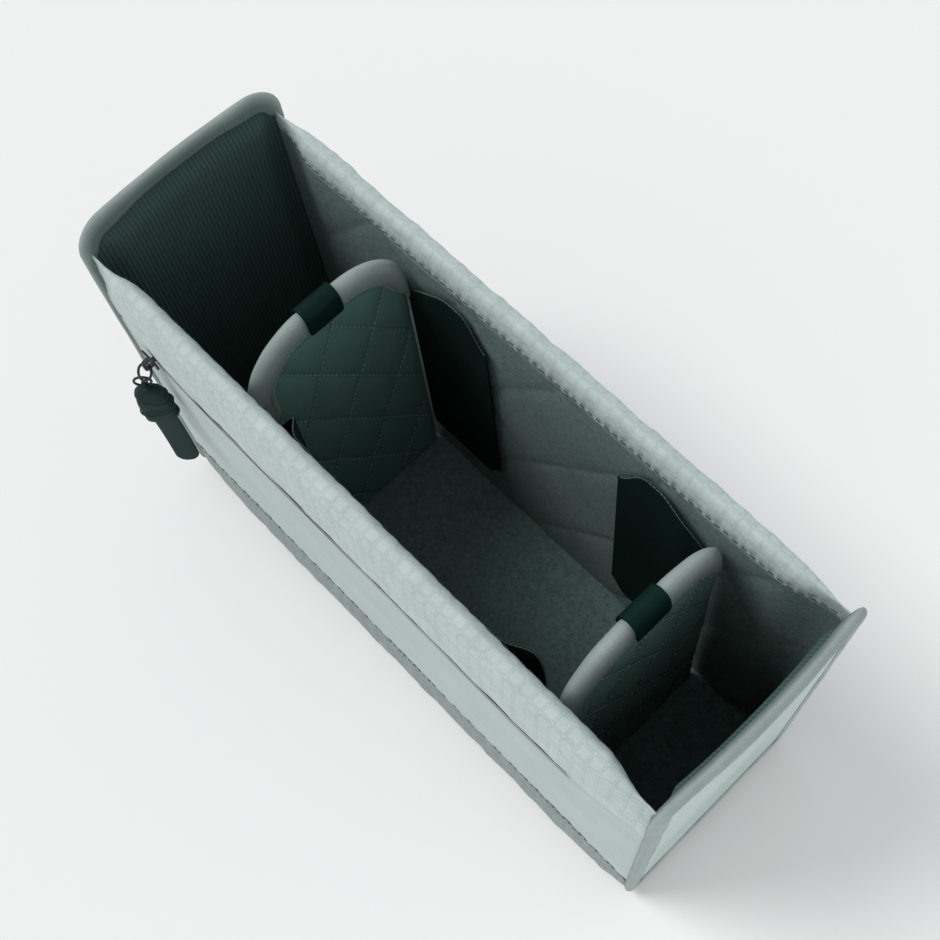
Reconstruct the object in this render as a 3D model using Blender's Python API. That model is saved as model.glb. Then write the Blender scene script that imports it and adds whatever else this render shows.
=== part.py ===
"""Padded camera insert: two bound end panels, padded long walls, a zip pocket and two dividers.

Run with: blender --background --python part.py
Frame: metres, +Z up, origin on the floor under the middle of the insert.
X runs along the insert, the zip pocket faces -Y.
"""
import math

import bmesh
import bpy
from mathutils import Matrix, Vector

# Overall sizes
LENGTH = 0.300
WIDTH = 0.100
HEIGHT = 0.200
END_LEAN = 0.004          # each end stands this much further in at the floor
END_BOW = 0.003           # each end panel draws in this much at the middle of its top edge
END_BOW_FOOT = 0.012      # the end panels are flat below this height

# Cloth, board and clearances
GAP = 0.0003              # clearance between touching layers
CLOTH = 0.0009            # outer cloth and lining cloth
THIN_CLOTH = 0.0006       # pocket lining
BOARD = 0.0008            # stiffening board in a wall

# End panels
END_PAD = 0.0040
END_LINING = 0.0010
END_TOP_RADIUS = 0.014
END_BOTTOM_RADIUS = 0.009
END_FOOT = 0.0010         # the bound edge ends this far above the floor
TAPE = 0.0010             # binding tape
TAPE_LEG = 0.0070         # how far the tape reaches over each face
ROLL_CHAMFER = 0.0014     # rounding of the tape over the edge

# Long walls
WALL_INSET = 0.0012       # walls stand this far inside the bound edges
WALL_THICKNESS = 0.0082
RIM_DROP = 0.011          # the walls' rims lie this far below the ends' tops
WALL_FOOT = 0.0040
BOARD_BELOW_ZIP = 0.012
FRONT_BULGE = 0.0040
BACK_BULGE = 0.0014
BULGE_OVER_TOP = 0.020    # the bulge would come back to nothing this far above the ends
LEVEL_STEP = 0.020        # height between the wall's levels
RIM_COVER_INSIDE = 0.012  # how far the rim cover reaches down the inner side

# Base
BASE_EDGE_RADIUS = 0.0050
BAND_TOP = 0.024
BASE_BOARD = 0.0015
BASE_FOAM = 0.0045
BASE_LINING = 0.0010

# Zip
ZIP_DROP = 0.052          # the zip lies this far below the ends' tops
ZIP_LEFT_MARGIN = 0.0255
ZIP_RIGHT_MARGIN = 0.0350
ZIP_SLOT = 0.0052         # opening between rim cover and pocket panel
ZIP_TAPE = 0.0004
ZIP_TAPE_WIDTH = 0.0080
ZIP_TAPE_SPACE = 0.0048   # free height between the two tapes
TOOTH_PITCH = 0.0030
TOOTH_LENGTH = 0.0009
TOOTH_ROOT = 0.0005
TOOTH_THICKNESS = 0.0014
ZIP_CHANNEL = 0.0014      # free height between the two rows, for the slider's post
STOP_LENGTH = 0.0020
POCKET_LINING_ABOVE_ZIP = 0.0110

# Slider and puller
SLIDER_LENGTH = 0.0090
SLIDER_HEIGHT = 0.0064
SLIDER_NOSE = 0.0020
SLIDER_PLATE = 0.0009
SLIDER_BACK_PLATE = 0.0006
SLIDER_POST = 0.0022
SLIDER_RUN = 0.0004       # clearance of each plate where the wall bulges most
EYE_HOLE_DEPTH = 0.0024
EYE_HOLE_HEIGHT = 0.0036
EYE_BAR = 0.0011
EYE_WIDTH = 0.0018
EYE_SINK = 0.0003
RING_WIRE = 0.0011
RING_RADIUS = 0.0035
RING_LEAN = math.radians(51)
PULLER_TURN = math.radians(50)
NECK_WIDTH = 0.0028
NECK_DEPTH = 0.0046
NECK_HOLE = 0.0026
NECK_ROOF = 0.0011
NECK_LENGTH = 0.0044
WRAP_WIDTH = 0.0136
WRAP_DEPTH = 0.0080
WRAP_LENGTH = 0.0230
WRAP_ROUNDING = 0.0022
STRAP_WIDTH = 0.0100
STRAP_THICKNESS = 0.0022
STRAP_LENGTH = 0.0425

# Dividers
DIVIDER_PAD = 0.0060
DIVIDER_DROP = 0.003      # the pad's top lies this far below the walls' rims
DIVIDER_TOP_RADIUS = 0.024
DIVIDER_BOTTOM_RADIUS = 0.005
DIVIDER_TAPE_LEG = 0.0060
DIVIDER_TAPE_REACH = 0.026  # how far the tape comes down the pad's sides
LEFT_DIVIDER_FROM_END = 0.081
RIGHT_DIVIDER_FROM_END = 0.053
PULL_TAB_WIDTH = 0.0165
PULL_TAB_LEG = 0.0150
PULL_TAB_CROWN = 0.0008   # rise of the tab's fold over the bound edge
WING_CLOTH = 0.0011
WING_LENGTH = 0.044
WING_ABOVE_FLOOR = 0.025
WING_ROOT_DROP = 0.036
WING_TIP_DROP = 0.015
WING_ROUND = 0.012
HOOK_STRIP = 0.0008
HOOK_WIDTH = 0.024
HOOK_MARGIN = 0.006
HOOK_HEAD = 0.016

# Shares and counts
WALL_STATION_SHARES = (-1, -0.95, -0.86, -0.72, -0.5, -0.25, 0, 0.25, 0.5, 0.72, 0.86, 0.95, 1)
BULGE_POWER = 8
ARC_STEPS = 8
CORNER_STEPS = 6
SIDE_STEPS = 12
TOP_STEPS = 6
RING_STEPS = 20
WIRE_SIDES = 8
WING_TIP_SHARES = ((0.14, 0.72), (0.36, 1.0), (0.72, 1.0), (0.92, 0.72), (1.0, 0.2))
NECK_TAPER_SHARE = 0.75

HALF_WALL = WIDTH / 2 - WALL_INSET
INNER_Y = HALF_WALL - WALL_THICKNESS
END_STACK = TAPE + GAP + END_PAD + GAP + END_LINING + GAP + TAPE + GAP
RUN = LENGTH / 2 - END_STACK
RIM_HEIGHT = HEIGHT - RIM_DROP
RIM_LINING_TOP = RIM_HEIGHT - RIM_COVER_INSIDE
BULGE_TOP = HEIGHT + BULGE_OVER_TOP
ZIP_HEIGHT = HEIGHT - ZIP_DROP
ZIP_START = ZIP_LEFT_MARGIN - LENGTH / 2
ZIP_END = LENGTH / 2 - ZIP_RIGHT_MARGIN
POCKET_LINING_TOP = ZIP_HEIGHT + POCKET_LINING_ABOVE_ZIP
BOARD_TOP = ZIP_HEIGHT - BOARD_BELOW_ZIP
BACK_SEAM = ZIP_HEIGHT
FLOOR = CLOTH + GAP + BASE_BOARD + GAP + BASE_FOAM + GAP + BASE_LINING
BULGES = {-1: FRONT_BULGE, 1: BACK_BULGE}

MATERIALS = {
    "outer_cloth": ((0.40, 0.45, 0.44), 0.85, 0.0),
    "smooth_cloth": ((0.46, 0.52, 0.51), 0.80, 0.0),
    "binding_tape": ((0.48, 0.55, 0.53), 0.85, 0.0),
    "rib_lining": ((0.10, 0.14, 0.13), 0.90, 0.0),
    "quilt_lining": ((0.20, 0.26, 0.25), 0.95, 0.0),
    "foam": ((0.08, 0.08, 0.08), 0.95, 0.0),
    "board": ((0.30, 0.30, 0.30), 0.50, 0.0),
    "zip_black": ((0.02, 0.02, 0.02), 0.45, 0.0),
    "black_web": ((0.02, 0.03, 0.03), 0.80, 0.0),
    "black_metal": ((0.03, 0.03, 0.03), 0.35, 0.9),
    "divider_cloth": ((0.05, 0.08, 0.07), 0.90, 0.0),
    "hook_tape": ((0.03, 0.04, 0.04), 0.95, 0.0),
}


def clear_scene():
    for obj in list(bpy.data.objects):
        bpy.data.objects.remove(obj, do_unlink=True)


def material(name):
    """The named material, made on first use."""
    found = bpy.data.materials.get(name)
    if found:
        return found
    colour, roughness, metallic = MATERIALS[name]
    found = bpy.data.materials.new(name)
    found.use_nodes = True
    shader = found.node_tree.nodes["Principled BSDF"]
    shader.inputs["Base Color"].default_value = (*colour, 1)
    shader.inputs["Roughness"].default_value = roughness
    shader.inputs["Metallic"].default_value = metallic
    return found


def add_object(name, bm, finish, pivot=None, parent=None, smooth=False):
    """Store a mesh as a named object whose origin lies on its pivot."""
    bmesh.ops.recalc_face_normals(bm, faces=bm.faces)
    if bm.calc_volume(signed=True) < 0:
        bmesh.ops.reverse_faces(bm, faces=bm.faces)
    mesh = bpy.data.meshes.new(name)
    bm.to_mesh(mesh)
    bm.free()
    if smooth:
        mesh.shade_smooth()
        mesh.set_sharp_from_angle(angle=math.radians(40))
    obj = bpy.data.objects.new(name, mesh)
    bpy.context.scene.collection.objects.link(obj)
    mesh.materials.append(material(finish))
    base = Vector((0, 0, 0))
    if parent is not None:
        obj.parent = parent
        base = parent.matrix_world.translation
    if pivot is not None:
        mesh.transform(Matrix.Translation(-Vector(pivot)))
        obj.location = Vector(pivot) - base
    elif parent is not None:
        mesh.transform(Matrix.Translation(-base))
    return obj


def add_joint(name, place, parent=None):
    """An empty on a joint's axis, which the moving pieces hang from."""
    joint = bpy.data.objects.new(name, None)
    bpy.context.scene.collection.objects.link(joint)
    base = Vector((0, 0, 0))
    if parent is not None:
        joint.parent = parent
        base = parent.matrix_world.translation
    joint.location = Vector(place) - base
    bpy.context.view_layer.update()
    return joint


def loft(loops, closed=False):
    """Skin matching loops of points into one closed body."""
    bm = bmesh.new()
    rings = []
    for loop in loops:
        verts = [bm.verts.new(point) for point in loop]
        rings.append(verts)
    count = len(rings)
    last = count if closed else count - 1
    for index in range(last):
        near = rings[index]
        far = rings[(index + 1) % count]
        size = len(near)
        for corner in range(size):
            after = (corner + 1) % size
            bm.faces.new((near[corner], near[after], far[after], far[corner]))
    if not closed:
        bm.faces.new(rings[0])
        bm.faces.new(list(reversed(rings[-1])))
    return bm


def prism(outline, start, stop, axes):
    """Extrude a flat outline along the third axis; axes names the outline's two and then that one."""
    bm = bmesh.new()
    verts = []
    for first, second in outline:
        point = [0, 0, 0]
        point[axes[0]] = first
        point[axes[1]] = second
        point[axes[2]] = start
        verts.append(bm.verts.new(point))
    face = bm.faces.new(verts)
    shift = Vector((0, 0, 0))
    shift[axes[2]] = stop - start
    made = bmesh.ops.extrude_face_region(bm, geom=[face])["geom"]
    moved = [item for item in made if isinstance(item, bmesh.types.BMVert)]
    bmesh.ops.translate(bm, verts=moved, vec=shift)
    return bm


def arc(centre, radius, start, stop, steps):
    """Points of an arc, in degrees."""
    points = []
    for index in range(steps + 1):
        angle = math.radians(start + (stop - start) * index / steps)
        points.append((centre[0] + radius * math.cos(angle), centre[1] + radius * math.sin(angle)))
    return points


def between(first, second, steps):
    """Points inside a straight run, without its two ends."""
    points = []
    for index in range(1, steps):
        share = index / steps
        points.append((first[0] + (second[0] - first[0]) * share, first[1] + (second[1] - first[1]) * share))
    return points


def rounded_outline(half, foot, top, foot_radius, top_radius, inset):
    """A panel's outline in Y and Z with rounded corners, drawn in by an inset."""
    half = half - inset
    foot = foot + inset
    top = top - inset
    low = foot_radius - inset
    high = top_radius - inset
    right_foot = arc((half - low, foot + low), low, -90, 0, CORNER_STEPS)
    right_top = arc((half - high, top - high), high, 0, 90, CORNER_STEPS)
    left_top = arc((high - half, top - high), high, 90, 180, CORNER_STEPS)
    left_foot = arc((low - half, foot + low), low, 180, 270, CORNER_STEPS)
    points = list(right_foot)
    points += between(right_foot[-1], right_top[0], SIDE_STEPS)
    points += right_top
    points += between(right_top[-1], left_top[0], TOP_STEPS)
    points += left_top
    points += between(left_top[-1], left_foot[0], SIDE_STEPS)
    points += left_foot
    points += between(left_foot[-1], right_foot[0], TOP_STEPS)
    return points


def end_plane(y, z):
    """Distance from the middle to the outside of an end, with its lean and its bow."""
    lean = END_LEAN * (1 - z / HEIGHT)
    rise = max(0, z - END_BOW_FOOT) / (HEIGHT - END_BOW_FOOT)
    bow = END_BOW * math.cos(math.pi * y / WIDTH) * math.sin(math.pi / 2 * min(rise, 1))
    return LENGTH / 2 - lean - bow


def span_x(share, y, z):
    """X of a point at a share of the free run between the two ends."""
    return share * (end_plane(y, z) - END_STACK)


def mix(first, second, share):
    return first + (second - first) * share


def bulge_height_share(z):
    """Share of the bulge at a height, straight between the wall's levels so that layers stay parallel."""
    level = math.floor(z / LEVEL_STEP)
    shares = []
    for height in (level * LEVEL_STEP, (level + 1) * LEVEL_STEP):
        rise = (height - BAND_TOP) / (BULGE_TOP - BAND_TOP)
        shares.append(math.sin(math.pi * min(max(rise, 0), 1)))
    return mix(shares[0], shares[1], z / LEVEL_STEP - level)


def bulge_length_share(x):
    """Share of the bulge along the wall, straight between its stations."""
    along = min(max(x / RUN, -1), 1)
    for near, far in zip(WALL_STATION_SHARES, WALL_STATION_SHARES[1:]):
        if near <= along <= far:
            share = (along - near) / (far - near)
            return mix(1 - abs(near) ** BULGE_POWER, 1 - abs(far) ** BULGE_POWER, share)
    return 0


def outer_y(side, x, z):
    """Distance from the mid plane to a wall's outer face, with its bulge."""
    return HALF_WALL + BULGES[side] * bulge_height_share(z) * bulge_length_share(x)


def levels(low, high):
    """Heights along a wall between two limits, with every wall level between them."""
    heights = [low]
    step = math.floor(low / LEVEL_STEP) + 1
    while step * LEVEL_STEP < high - GAP:
        if step * LEVEL_STEP > low + GAP:
            heights.append(step * LEVEL_STEP)
        step += 1
    return heights + [high]


def wall_loop(share, side, points):
    """Turn (distance, height) pairs of a wall's section into world points."""
    return [(span_x(share, distance, z), side * distance, z) for distance, z in points]


def slab_points(side, x, low, high, near, far):
    """Section of a layer that lies between two depths behind the outer face."""
    heights = levels(low, high)
    front = [(outer_y(side, x, z) - near, z) for z in heights]
    back = [(outer_y(side, x, z) - far, z) for z in reversed(heights)]
    return front + back


def rim_points(side, x, depth):
    """Arc of the rim at a depth below its surface, from the outer side to the inner side."""
    radius = WALL_THICKNESS / 2
    for _ in range(3):
        radius = (outer_y(side, x, RIM_HEIGHT - radius) - INNER_Y) / 2
    centre = (INNER_Y + radius, RIM_HEIGHT - radius)
    return arc(centre, radius - depth, 0, 180, ARC_STEPS)


def long_loft(section):
    """Loft a wall section along the whole free run."""
    loops = []
    for share in WALL_STATION_SHARES:
        x = span_x(share, HALF_WALL, RIM_HEIGHT)
        loops.append(section(share, x))
    return loft(loops)


def add_wall_slab(name, finish, side, low, high, near, far):
    def section(share, x):
        return wall_loop(share, side, slab_points(side, x, low, high, near, far))

    return add_object(name, long_loft(section), finish)


def add_rim_cover(name, side, outer_edge):
    def section(share, x):
        outside = rim_points(side, x, 0)
        inside = rim_points(side, x, CLOTH)
        outer_heights = levels(outer_edge, outside[0][1])[:-1]
        points = [(outer_y(side, x, z), z) for z in outer_heights]
        points += outside
        points += [(INNER_Y, RIM_LINING_TOP), (INNER_Y + CLOTH, RIM_LINING_TOP)]
        points += list(reversed(inside))
        points += [(outer_y(side, x, z) - CLOTH, z) for z in reversed(outer_heights)]
        return wall_loop(share, side, points)

    return add_object(name, long_loft(section), "outer_cloth", smooth=True)


def add_wall_foam(name, side, steps):
    """Foam core; steps lists (top of the run, depth of its outer face) from the foot up."""
    def section(share, x):
        points = []
        low = WALL_FOOT
        for top, depth in steps:
            points += [(outer_y(side, x, z) - depth, z) for z in levels(low, top)]
            low = top
        cap = rim_points(side, x, CLOTH + GAP)
        depth = steps[-1][1]
        points += [(outer_y(side, x, z) - depth, z) for z in levels(low, cap[0][1])[:-1]][1:]
        points += cap
        points += [(INNER_Y + CLOTH + GAP, z) for z in reversed(levels(WALL_FOOT, BOARD_TOP))]
        return wall_loop(share, side, points)

    return add_object(name, long_loft(section), "foam")


def add_inner_lining(name, side):
    def section(share, x):
        heights = levels(WALL_FOOT, RIM_LINING_TOP - GAP)
        points = [(INNER_Y + CLOTH, z) for z in heights]
        points += [(INNER_Y, z) for z in reversed(heights)]
        return wall_loop(share, side, points)

    return add_object(name, long_loft(section), "quilt_lining")


TAPE_FACE = CLOTH + GAP
TOOTH_FACE = TAPE_FACE + ZIP_TAPE / 2 - TOOTH_THICKNESS / 2
TOOTH_REAR = TOOTH_FACE + TOOTH_THICKNESS
SLIDER_X = ZIP_START + STOP_LENGTH + GAP + SLIDER_LENGTH / 2
SLIDER_FACE = -outer_y(-1, SLIDER_X, ZIP_HEIGHT)
SLIDER_SWING = outer_y(-1, 0, ZIP_HEIGHT) + SLIDER_FACE
POCKET_BACK = TOOTH_REAR + GAP + SLIDER_BACK_PLATE + SLIDER_SWING + SLIDER_RUN
POCKET_REAR = POCKET_BACK + THIN_CLOTH + GAP
BOARD_REAR = POCKET_REAR + BOARD + GAP
SLOT_TOP = ZIP_HEIGHT + ZIP_SLOT / 2
SLOT_FOOT = ZIP_HEIGHT - ZIP_SLOT / 2


def add_front_wall():
    side = -1
    add_rim_cover("front_rim_cover", side, SLOT_TOP)
    add_wall_slab("front_pocket_panel", "smooth_cloth", side, BAND_TOP + GAP, SLOT_FOOT, 0, CLOTH)
    add_wall_slab("front_pocket_lining", "rib_lining", side, BAND_TOP + GAP, POCKET_LINING_TOP,
                  POCKET_BACK, POCKET_BACK + THIN_CLOTH)
    add_wall_slab("front_wall_board", "board", side, WALL_FOOT, BOARD_TOP, POCKET_REAR, POCKET_REAR + BOARD)
    steps = [
        (BOARD_TOP + GAP, BOARD_REAR),
        (POCKET_LINING_TOP + GAP, POCKET_REAR),
        (POCKET_LINING_TOP + CLOTH, CLOTH + GAP),
    ]
    add_wall_foam("front_wall_foam", side, steps)
    add_inner_lining("front_wall_lining", side)


def add_back_wall():
    side = 1
    board_depth = CLOTH + GAP
    add_rim_cover("back_rim_cover", side, BACK_SEAM + GAP)
    add_wall_slab("back_wall_skin", "outer_cloth", side, BAND_TOP + GAP, BACK_SEAM, 0, CLOTH)
    add_wall_slab("back_wall_board", "board", side, WALL_FOOT, BOARD_TOP, board_depth, board_depth + BOARD)
    steps = [
        (BOARD_TOP + GAP, board_depth + BOARD + GAP),
        (BACK_SEAM, board_depth),
    ]
    add_wall_foam("back_wall_foam", side, steps)
    add_inner_lining("back_wall_lining", side)


def add_base():
    """Bottom cloth with its turned-up bands, then board, foam and lining inside."""
    outer = HALF_WALL
    radius = BASE_EDGE_RADIUS

    def tray(share, _):
        right = arc((outer - radius, radius), radius, 0, -90, CORNER_STEPS)
        right_in = arc((outer - radius, radius), radius - CLOTH, 0, -90, CORNER_STEPS)
        left = [(-y, z) for y, z in reversed(right)]
        left_in = [(-y, z) for y, z in reversed(right_in)]
        points = right + left + list(reversed(left_in)) + list(reversed(right_in))
        return [(span_x(share, y, z), y, z) for y, z in points]

    add_object("base_cover", long_loft(tray), "outer_cloth", smooth=True)
    for side, name in ((-1, "front_base_band"), (1, "back_base_band")):
        add_wall_slab(name, "outer_cloth", side, radius + GAP, BAND_TOP, 0, CLOTH)

    def layer(half, low, high):
        def section(share, _):
            points = [(-half, low), (half, low), (half, high), (-half, high)]
            return [(span_x(share, y, z), y, z) for y, z in points]

        return loft([section(share, None) for share in (-1, 1)])

    board_foot = CLOTH + GAP
    foam_foot = board_foot + BASE_BOARD + GAP
    lining_foot = foam_foot + BASE_FOAM + GAP
    inside = INNER_Y - GAP
    add_object("base_board", layer(outer - radius, board_foot, board_foot + BASE_BOARD), "board")
    add_object("base_foam", layer(inside, foam_foot, foam_foot + BASE_FOAM), "foam")
    add_object("base_lining", layer(inside, lining_foot, lining_foot + BASE_LINING), "quilt_lining")


def end_outline(inset):
    half = WIDTH / 2 - TAPE - GAP
    foot = END_FOOT + TAPE + GAP
    top = HEIGHT - TAPE - GAP
    rim = TAPE + GAP
    return rounded_outline(half, foot, top, END_BOTTOM_RADIUS - rim, END_TOP_RADIUS - rim, inset)


def end_sheet(sign, near, far):
    """A panel of the end's outline between two depths, bent to the end's lean and bow."""
    bm = prism(end_outline(0), near, far, (1, 2, 0))
    half = WIDTH / 2
    for index in range(1, TOP_STEPS):
        cut_sheet(bm, (0, -half + WIDTH * index / TOP_STEPS, 0), (0, 1, 0))
    for index in range(1, SIDE_STEPS):
        cut_sheet(bm, (0, 0, HEIGHT * index / SIDE_STEPS), (0, 0, 1))
    for vert in bm.verts:
        vert.co.x = sign * (end_plane(vert.co.y, vert.co.z) - vert.co.x)
    return bm


def cut_sheet(bm, place, normal):
    geometry = list(bm.verts) + list(bm.edges) + list(bm.faces)
    bmesh.ops.bisect_plane(bm, geom=geometry, dist=0, plane_co=place, plane_no=normal)


def tape_section(stack, leg):
    """Binding tape's folded section: (distance in from the edge, depth from the outer face)."""
    out = TAPE + GAP
    return [
        (leg, -out), (ROLL_CHAMFER - out, -out), (-out, ROLL_CHAMFER - out),
        (-out, stack + out - ROLL_CHAMFER), (ROLL_CHAMFER - out, stack + out), (leg, stack + out),
        (leg, stack + GAP), (-GAP, stack + GAP), (-GAP, -GAP), (leg, -GAP),
    ]


def add_end(sign, name):
    first = TAPE + GAP
    second = first + END_PAD + GAP
    add_object(name + "_end_panel", end_sheet(sign, first, first + END_PAD), "smooth_cloth")
    add_object(name + "_end_lining", end_sheet(sign, second, second + END_LINING), "rib_lining")
    section = tape_section(END_PAD + GAP + END_LINING, TAPE_LEG)
    outlines = [end_outline(inset) for inset, _ in section]
    loops = []
    for index in range(len(outlines[0])):
        loop = []
        for outline, (_, depth) in zip(outlines, section):
            y, z = outline[index]
            loop.append((sign * (end_plane(y, z) - first - depth), y, z))
        loops.append(loop)
    add_object(name + "_end_binding", loft(loops, closed=True), "binding_tape", smooth=True)


def zip_stations(start, stop):
    count = len(WALL_STATION_SHARES) - 1
    return [start + (stop - start) * index / count for index in range(count + 1)]


def zip_bar(stations, low, high, near, far):
    """A strip along the zip that follows the wall's bulge at the zip's height."""
    loops = []
    for x in stations:
        loops.append([(x, -distance, z) for distance, z in slab_points(-1, x, low, high, near, far)])
    return loft(loops)


def add_tooth_row(name, direction):
    """One row of zip teeth on its spine; direction is +1 above the channel and -1 below it."""
    tip = ZIP_CHANNEL / 2
    root = tip + TOOTH_LENGTH
    spine = root + TOOTH_ROOT
    start = ZIP_START + STOP_LENGTH + GAP
    stop = ZIP_END - STOP_LENGTH - GAP
    count = int((stop - start) / TOOTH_PITCH)
    offset = TOOTH_PITCH / 4 * (1 - direction)
    loops = []
    for index in range(2 * count):
        x = start + offset + TOOTH_PITCH * index / 2
        edge = tip if index % 2 else root
        face = -outer_y(-1, x, ZIP_HEIGHT)
        near = face + TOOTH_FACE
        far = face + TOOTH_REAR
        low = ZIP_HEIGHT + direction * edge
        high = ZIP_HEIGHT + direction * spine
        loops.append([(x, near, low), (x, near, high), (x, far, high), (x, far, low)])
    add_object(name, loft(loops), "zip_black")


def add_zip():
    inner = ZIP_TAPE_SPACE / 2
    outer = inner + ZIP_TAPE_WIDTH
    stations = zip_stations(ZIP_START, ZIP_END)
    rear = TAPE_FACE + ZIP_TAPE
    upper = zip_bar(stations, ZIP_HEIGHT + inner, ZIP_HEIGHT + outer, TAPE_FACE, rear)
    lower = zip_bar(stations, ZIP_HEIGHT - outer, ZIP_HEIGHT - inner, TAPE_FACE, rear)
    add_object("upper_zip_tape", upper, "zip_black")
    add_object("lower_zip_tape", lower, "zip_black")
    add_tooth_row("upper_zip_teeth", 1)
    add_tooth_row("lower_zip_teeth", -1)
    reach = inner - GAP
    ends = (("left_zip_stop", ZIP_START), ("right_zip_stop", ZIP_END - STOP_LENGTH))
    for name, start in ends:
        bar = zip_bar((start, start + STOP_LENGTH), ZIP_HEIGHT - reach, ZIP_HEIGHT + reach, TOOTH_FACE, TOOTH_REAR)
        add_object(name, bar, "black_metal")


PLATE_IN = SLIDER_FACE - SLIDER_SWING - SLIDER_RUN
PLATE_OUT = PLATE_IN - SLIDER_PLATE
BACK_PLATE_IN = SLIDER_FACE + TOOTH_REAR + GAP
RING_AXIS = Vector((SLIDER_X, PLATE_OUT - EYE_HOLE_DEPTH / 2, ZIP_HEIGHT - EYE_HOLE_HEIGHT / 2 + RING_WIRE / 2 + GAP))
RING_DOWN = Vector((0, -math.sin(RING_LEAN), -math.cos(RING_LEAN)))
LINK = RING_AXIS + RING_DOWN * 2 * RING_RADIUS
PULLER_TOP = LINK + Vector((0, 0, RING_WIRE + GAP))
ACROSS = Vector((math.cos(PULLER_TURN), math.sin(PULLER_TURN), 0))
THROUGH = Vector((-math.sin(PULLER_TURN), math.cos(PULLER_TURN), 0))


def ring_mesh(top, down, along):
    """A wire ring that hangs from its top point; down and along span its plane."""
    centre = top + down * RING_RADIUS
    normal = down.cross(along).normalized()
    loops = []
    for index in range(RING_STEPS):
        angle = 2 * math.pi * index / RING_STEPS
        outward = -down * math.cos(angle) + along * math.sin(angle)
        middle = centre + outward * RING_RADIUS
        loop = []
        for side in range(WIRE_SIDES):
            turn = 2 * math.pi * side / WIRE_SIDES
            loop.append(middle + (outward * math.cos(turn) + normal * math.sin(turn)) * RING_WIRE / 2)
        loops.append(loop)
    return loft(loops, closed=True)


def add_guide(name, bm):
    """A hidden operand for a Boolean."""
    guide = add_object(name, bm, "black_metal")
    guide.hide_render = True
    guide.display_type = "WIRE"
    return guide


def combine(obj, tool, operation):
    change = obj.modifiers.new(tool.name, "BOOLEAN")
    change.operation = operation
    change.solver = "EXACT"
    change.object = tool


def add_slider():
    joint = add_joint("zip_slide_joint", (SLIDER_X, SLIDER_FACE, ZIP_HEIGHT))
    half = SLIDER_LENGTH / 2
    tall = SLIDER_HEIGHT / 2
    nose = SLIDER_NOSE
    plate = [(-half, tall), (-half, -tall), (half - nose, -tall), (half, nose - tall),
             (half, tall - nose), (half - nose, tall)]
    outline = [(SLIDER_X + x, ZIP_HEIGHT + z) for x, z in plate]
    body = prism(outline, PLATE_OUT, PLATE_IN, (0, 2, 1))
    slider = add_object("zip_slider", body, "black_metal", parent=joint)
    rear = prism(outline, BACK_PLATE_IN, BACK_PLATE_IN + SLIDER_BACK_PLATE, (0, 2, 1))
    combine(slider, add_guide("slider_rear_plate_guide", rear), "UNION")
    reach = ZIP_CHANNEL / 2 - GAP
    post = [(SLIDER_X - SLIDER_POST / 2, ZIP_HEIGHT - reach), (SLIDER_X + SLIDER_POST / 2, ZIP_HEIGHT - reach),
            (SLIDER_X + SLIDER_POST / 2, ZIP_HEIGHT + reach), (SLIDER_X - SLIDER_POST / 2, ZIP_HEIGHT + reach)]
    bar = prism(post, PLATE_IN - EYE_SINK, BACK_PLATE_IN + EYE_SINK, (0, 2, 1))
    combine(slider, add_guide("slider_post_guide", bar), "UNION")
    hole = EYE_HOLE_HEIGHT / 2
    leg = hole + EYE_BAR
    root = PLATE_OUT + EYE_SINK
    roof = PLATE_OUT - EYE_HOLE_DEPTH
    crown = roof - EYE_BAR
    eye = [(root, -leg), (crown + EYE_BAR, -leg), (crown, EYE_BAR - leg), (crown, leg - EYE_BAR),
           (crown + EYE_BAR, leg), (root, leg), (root, hole), (roof, hole), (roof, -hole), (root, -hole)]
    arch = prism([(y, ZIP_HEIGHT + z) for y, z in eye], SLIDER_X - EYE_WIDTH / 2, SLIDER_X + EYE_WIDTH / 2, (1, 2, 0))
    combine(slider, add_guide("slider_eye_guide", arch), "UNION")
    return joint


def puller_loop(z, half_width, half_depth, rounding):
    """Rounded section of the puller at a height, in the puller's turned frame."""
    flat = half_depth - rounding
    wide = half_width - rounding
    corners = [(wide, flat, 0), (-wide, flat, 90), (-wide, -flat, 180), (wide, -flat, 270)]
    loop = []
    for across, through, start in corners:
        for point in arc((across, through), rounding, start, start + 90, 3):
            place = PULLER_TOP + ACROSS * point[0] + THROUGH * point[1]
            loop.append((place.x, place.y, z))
    return loop


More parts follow.
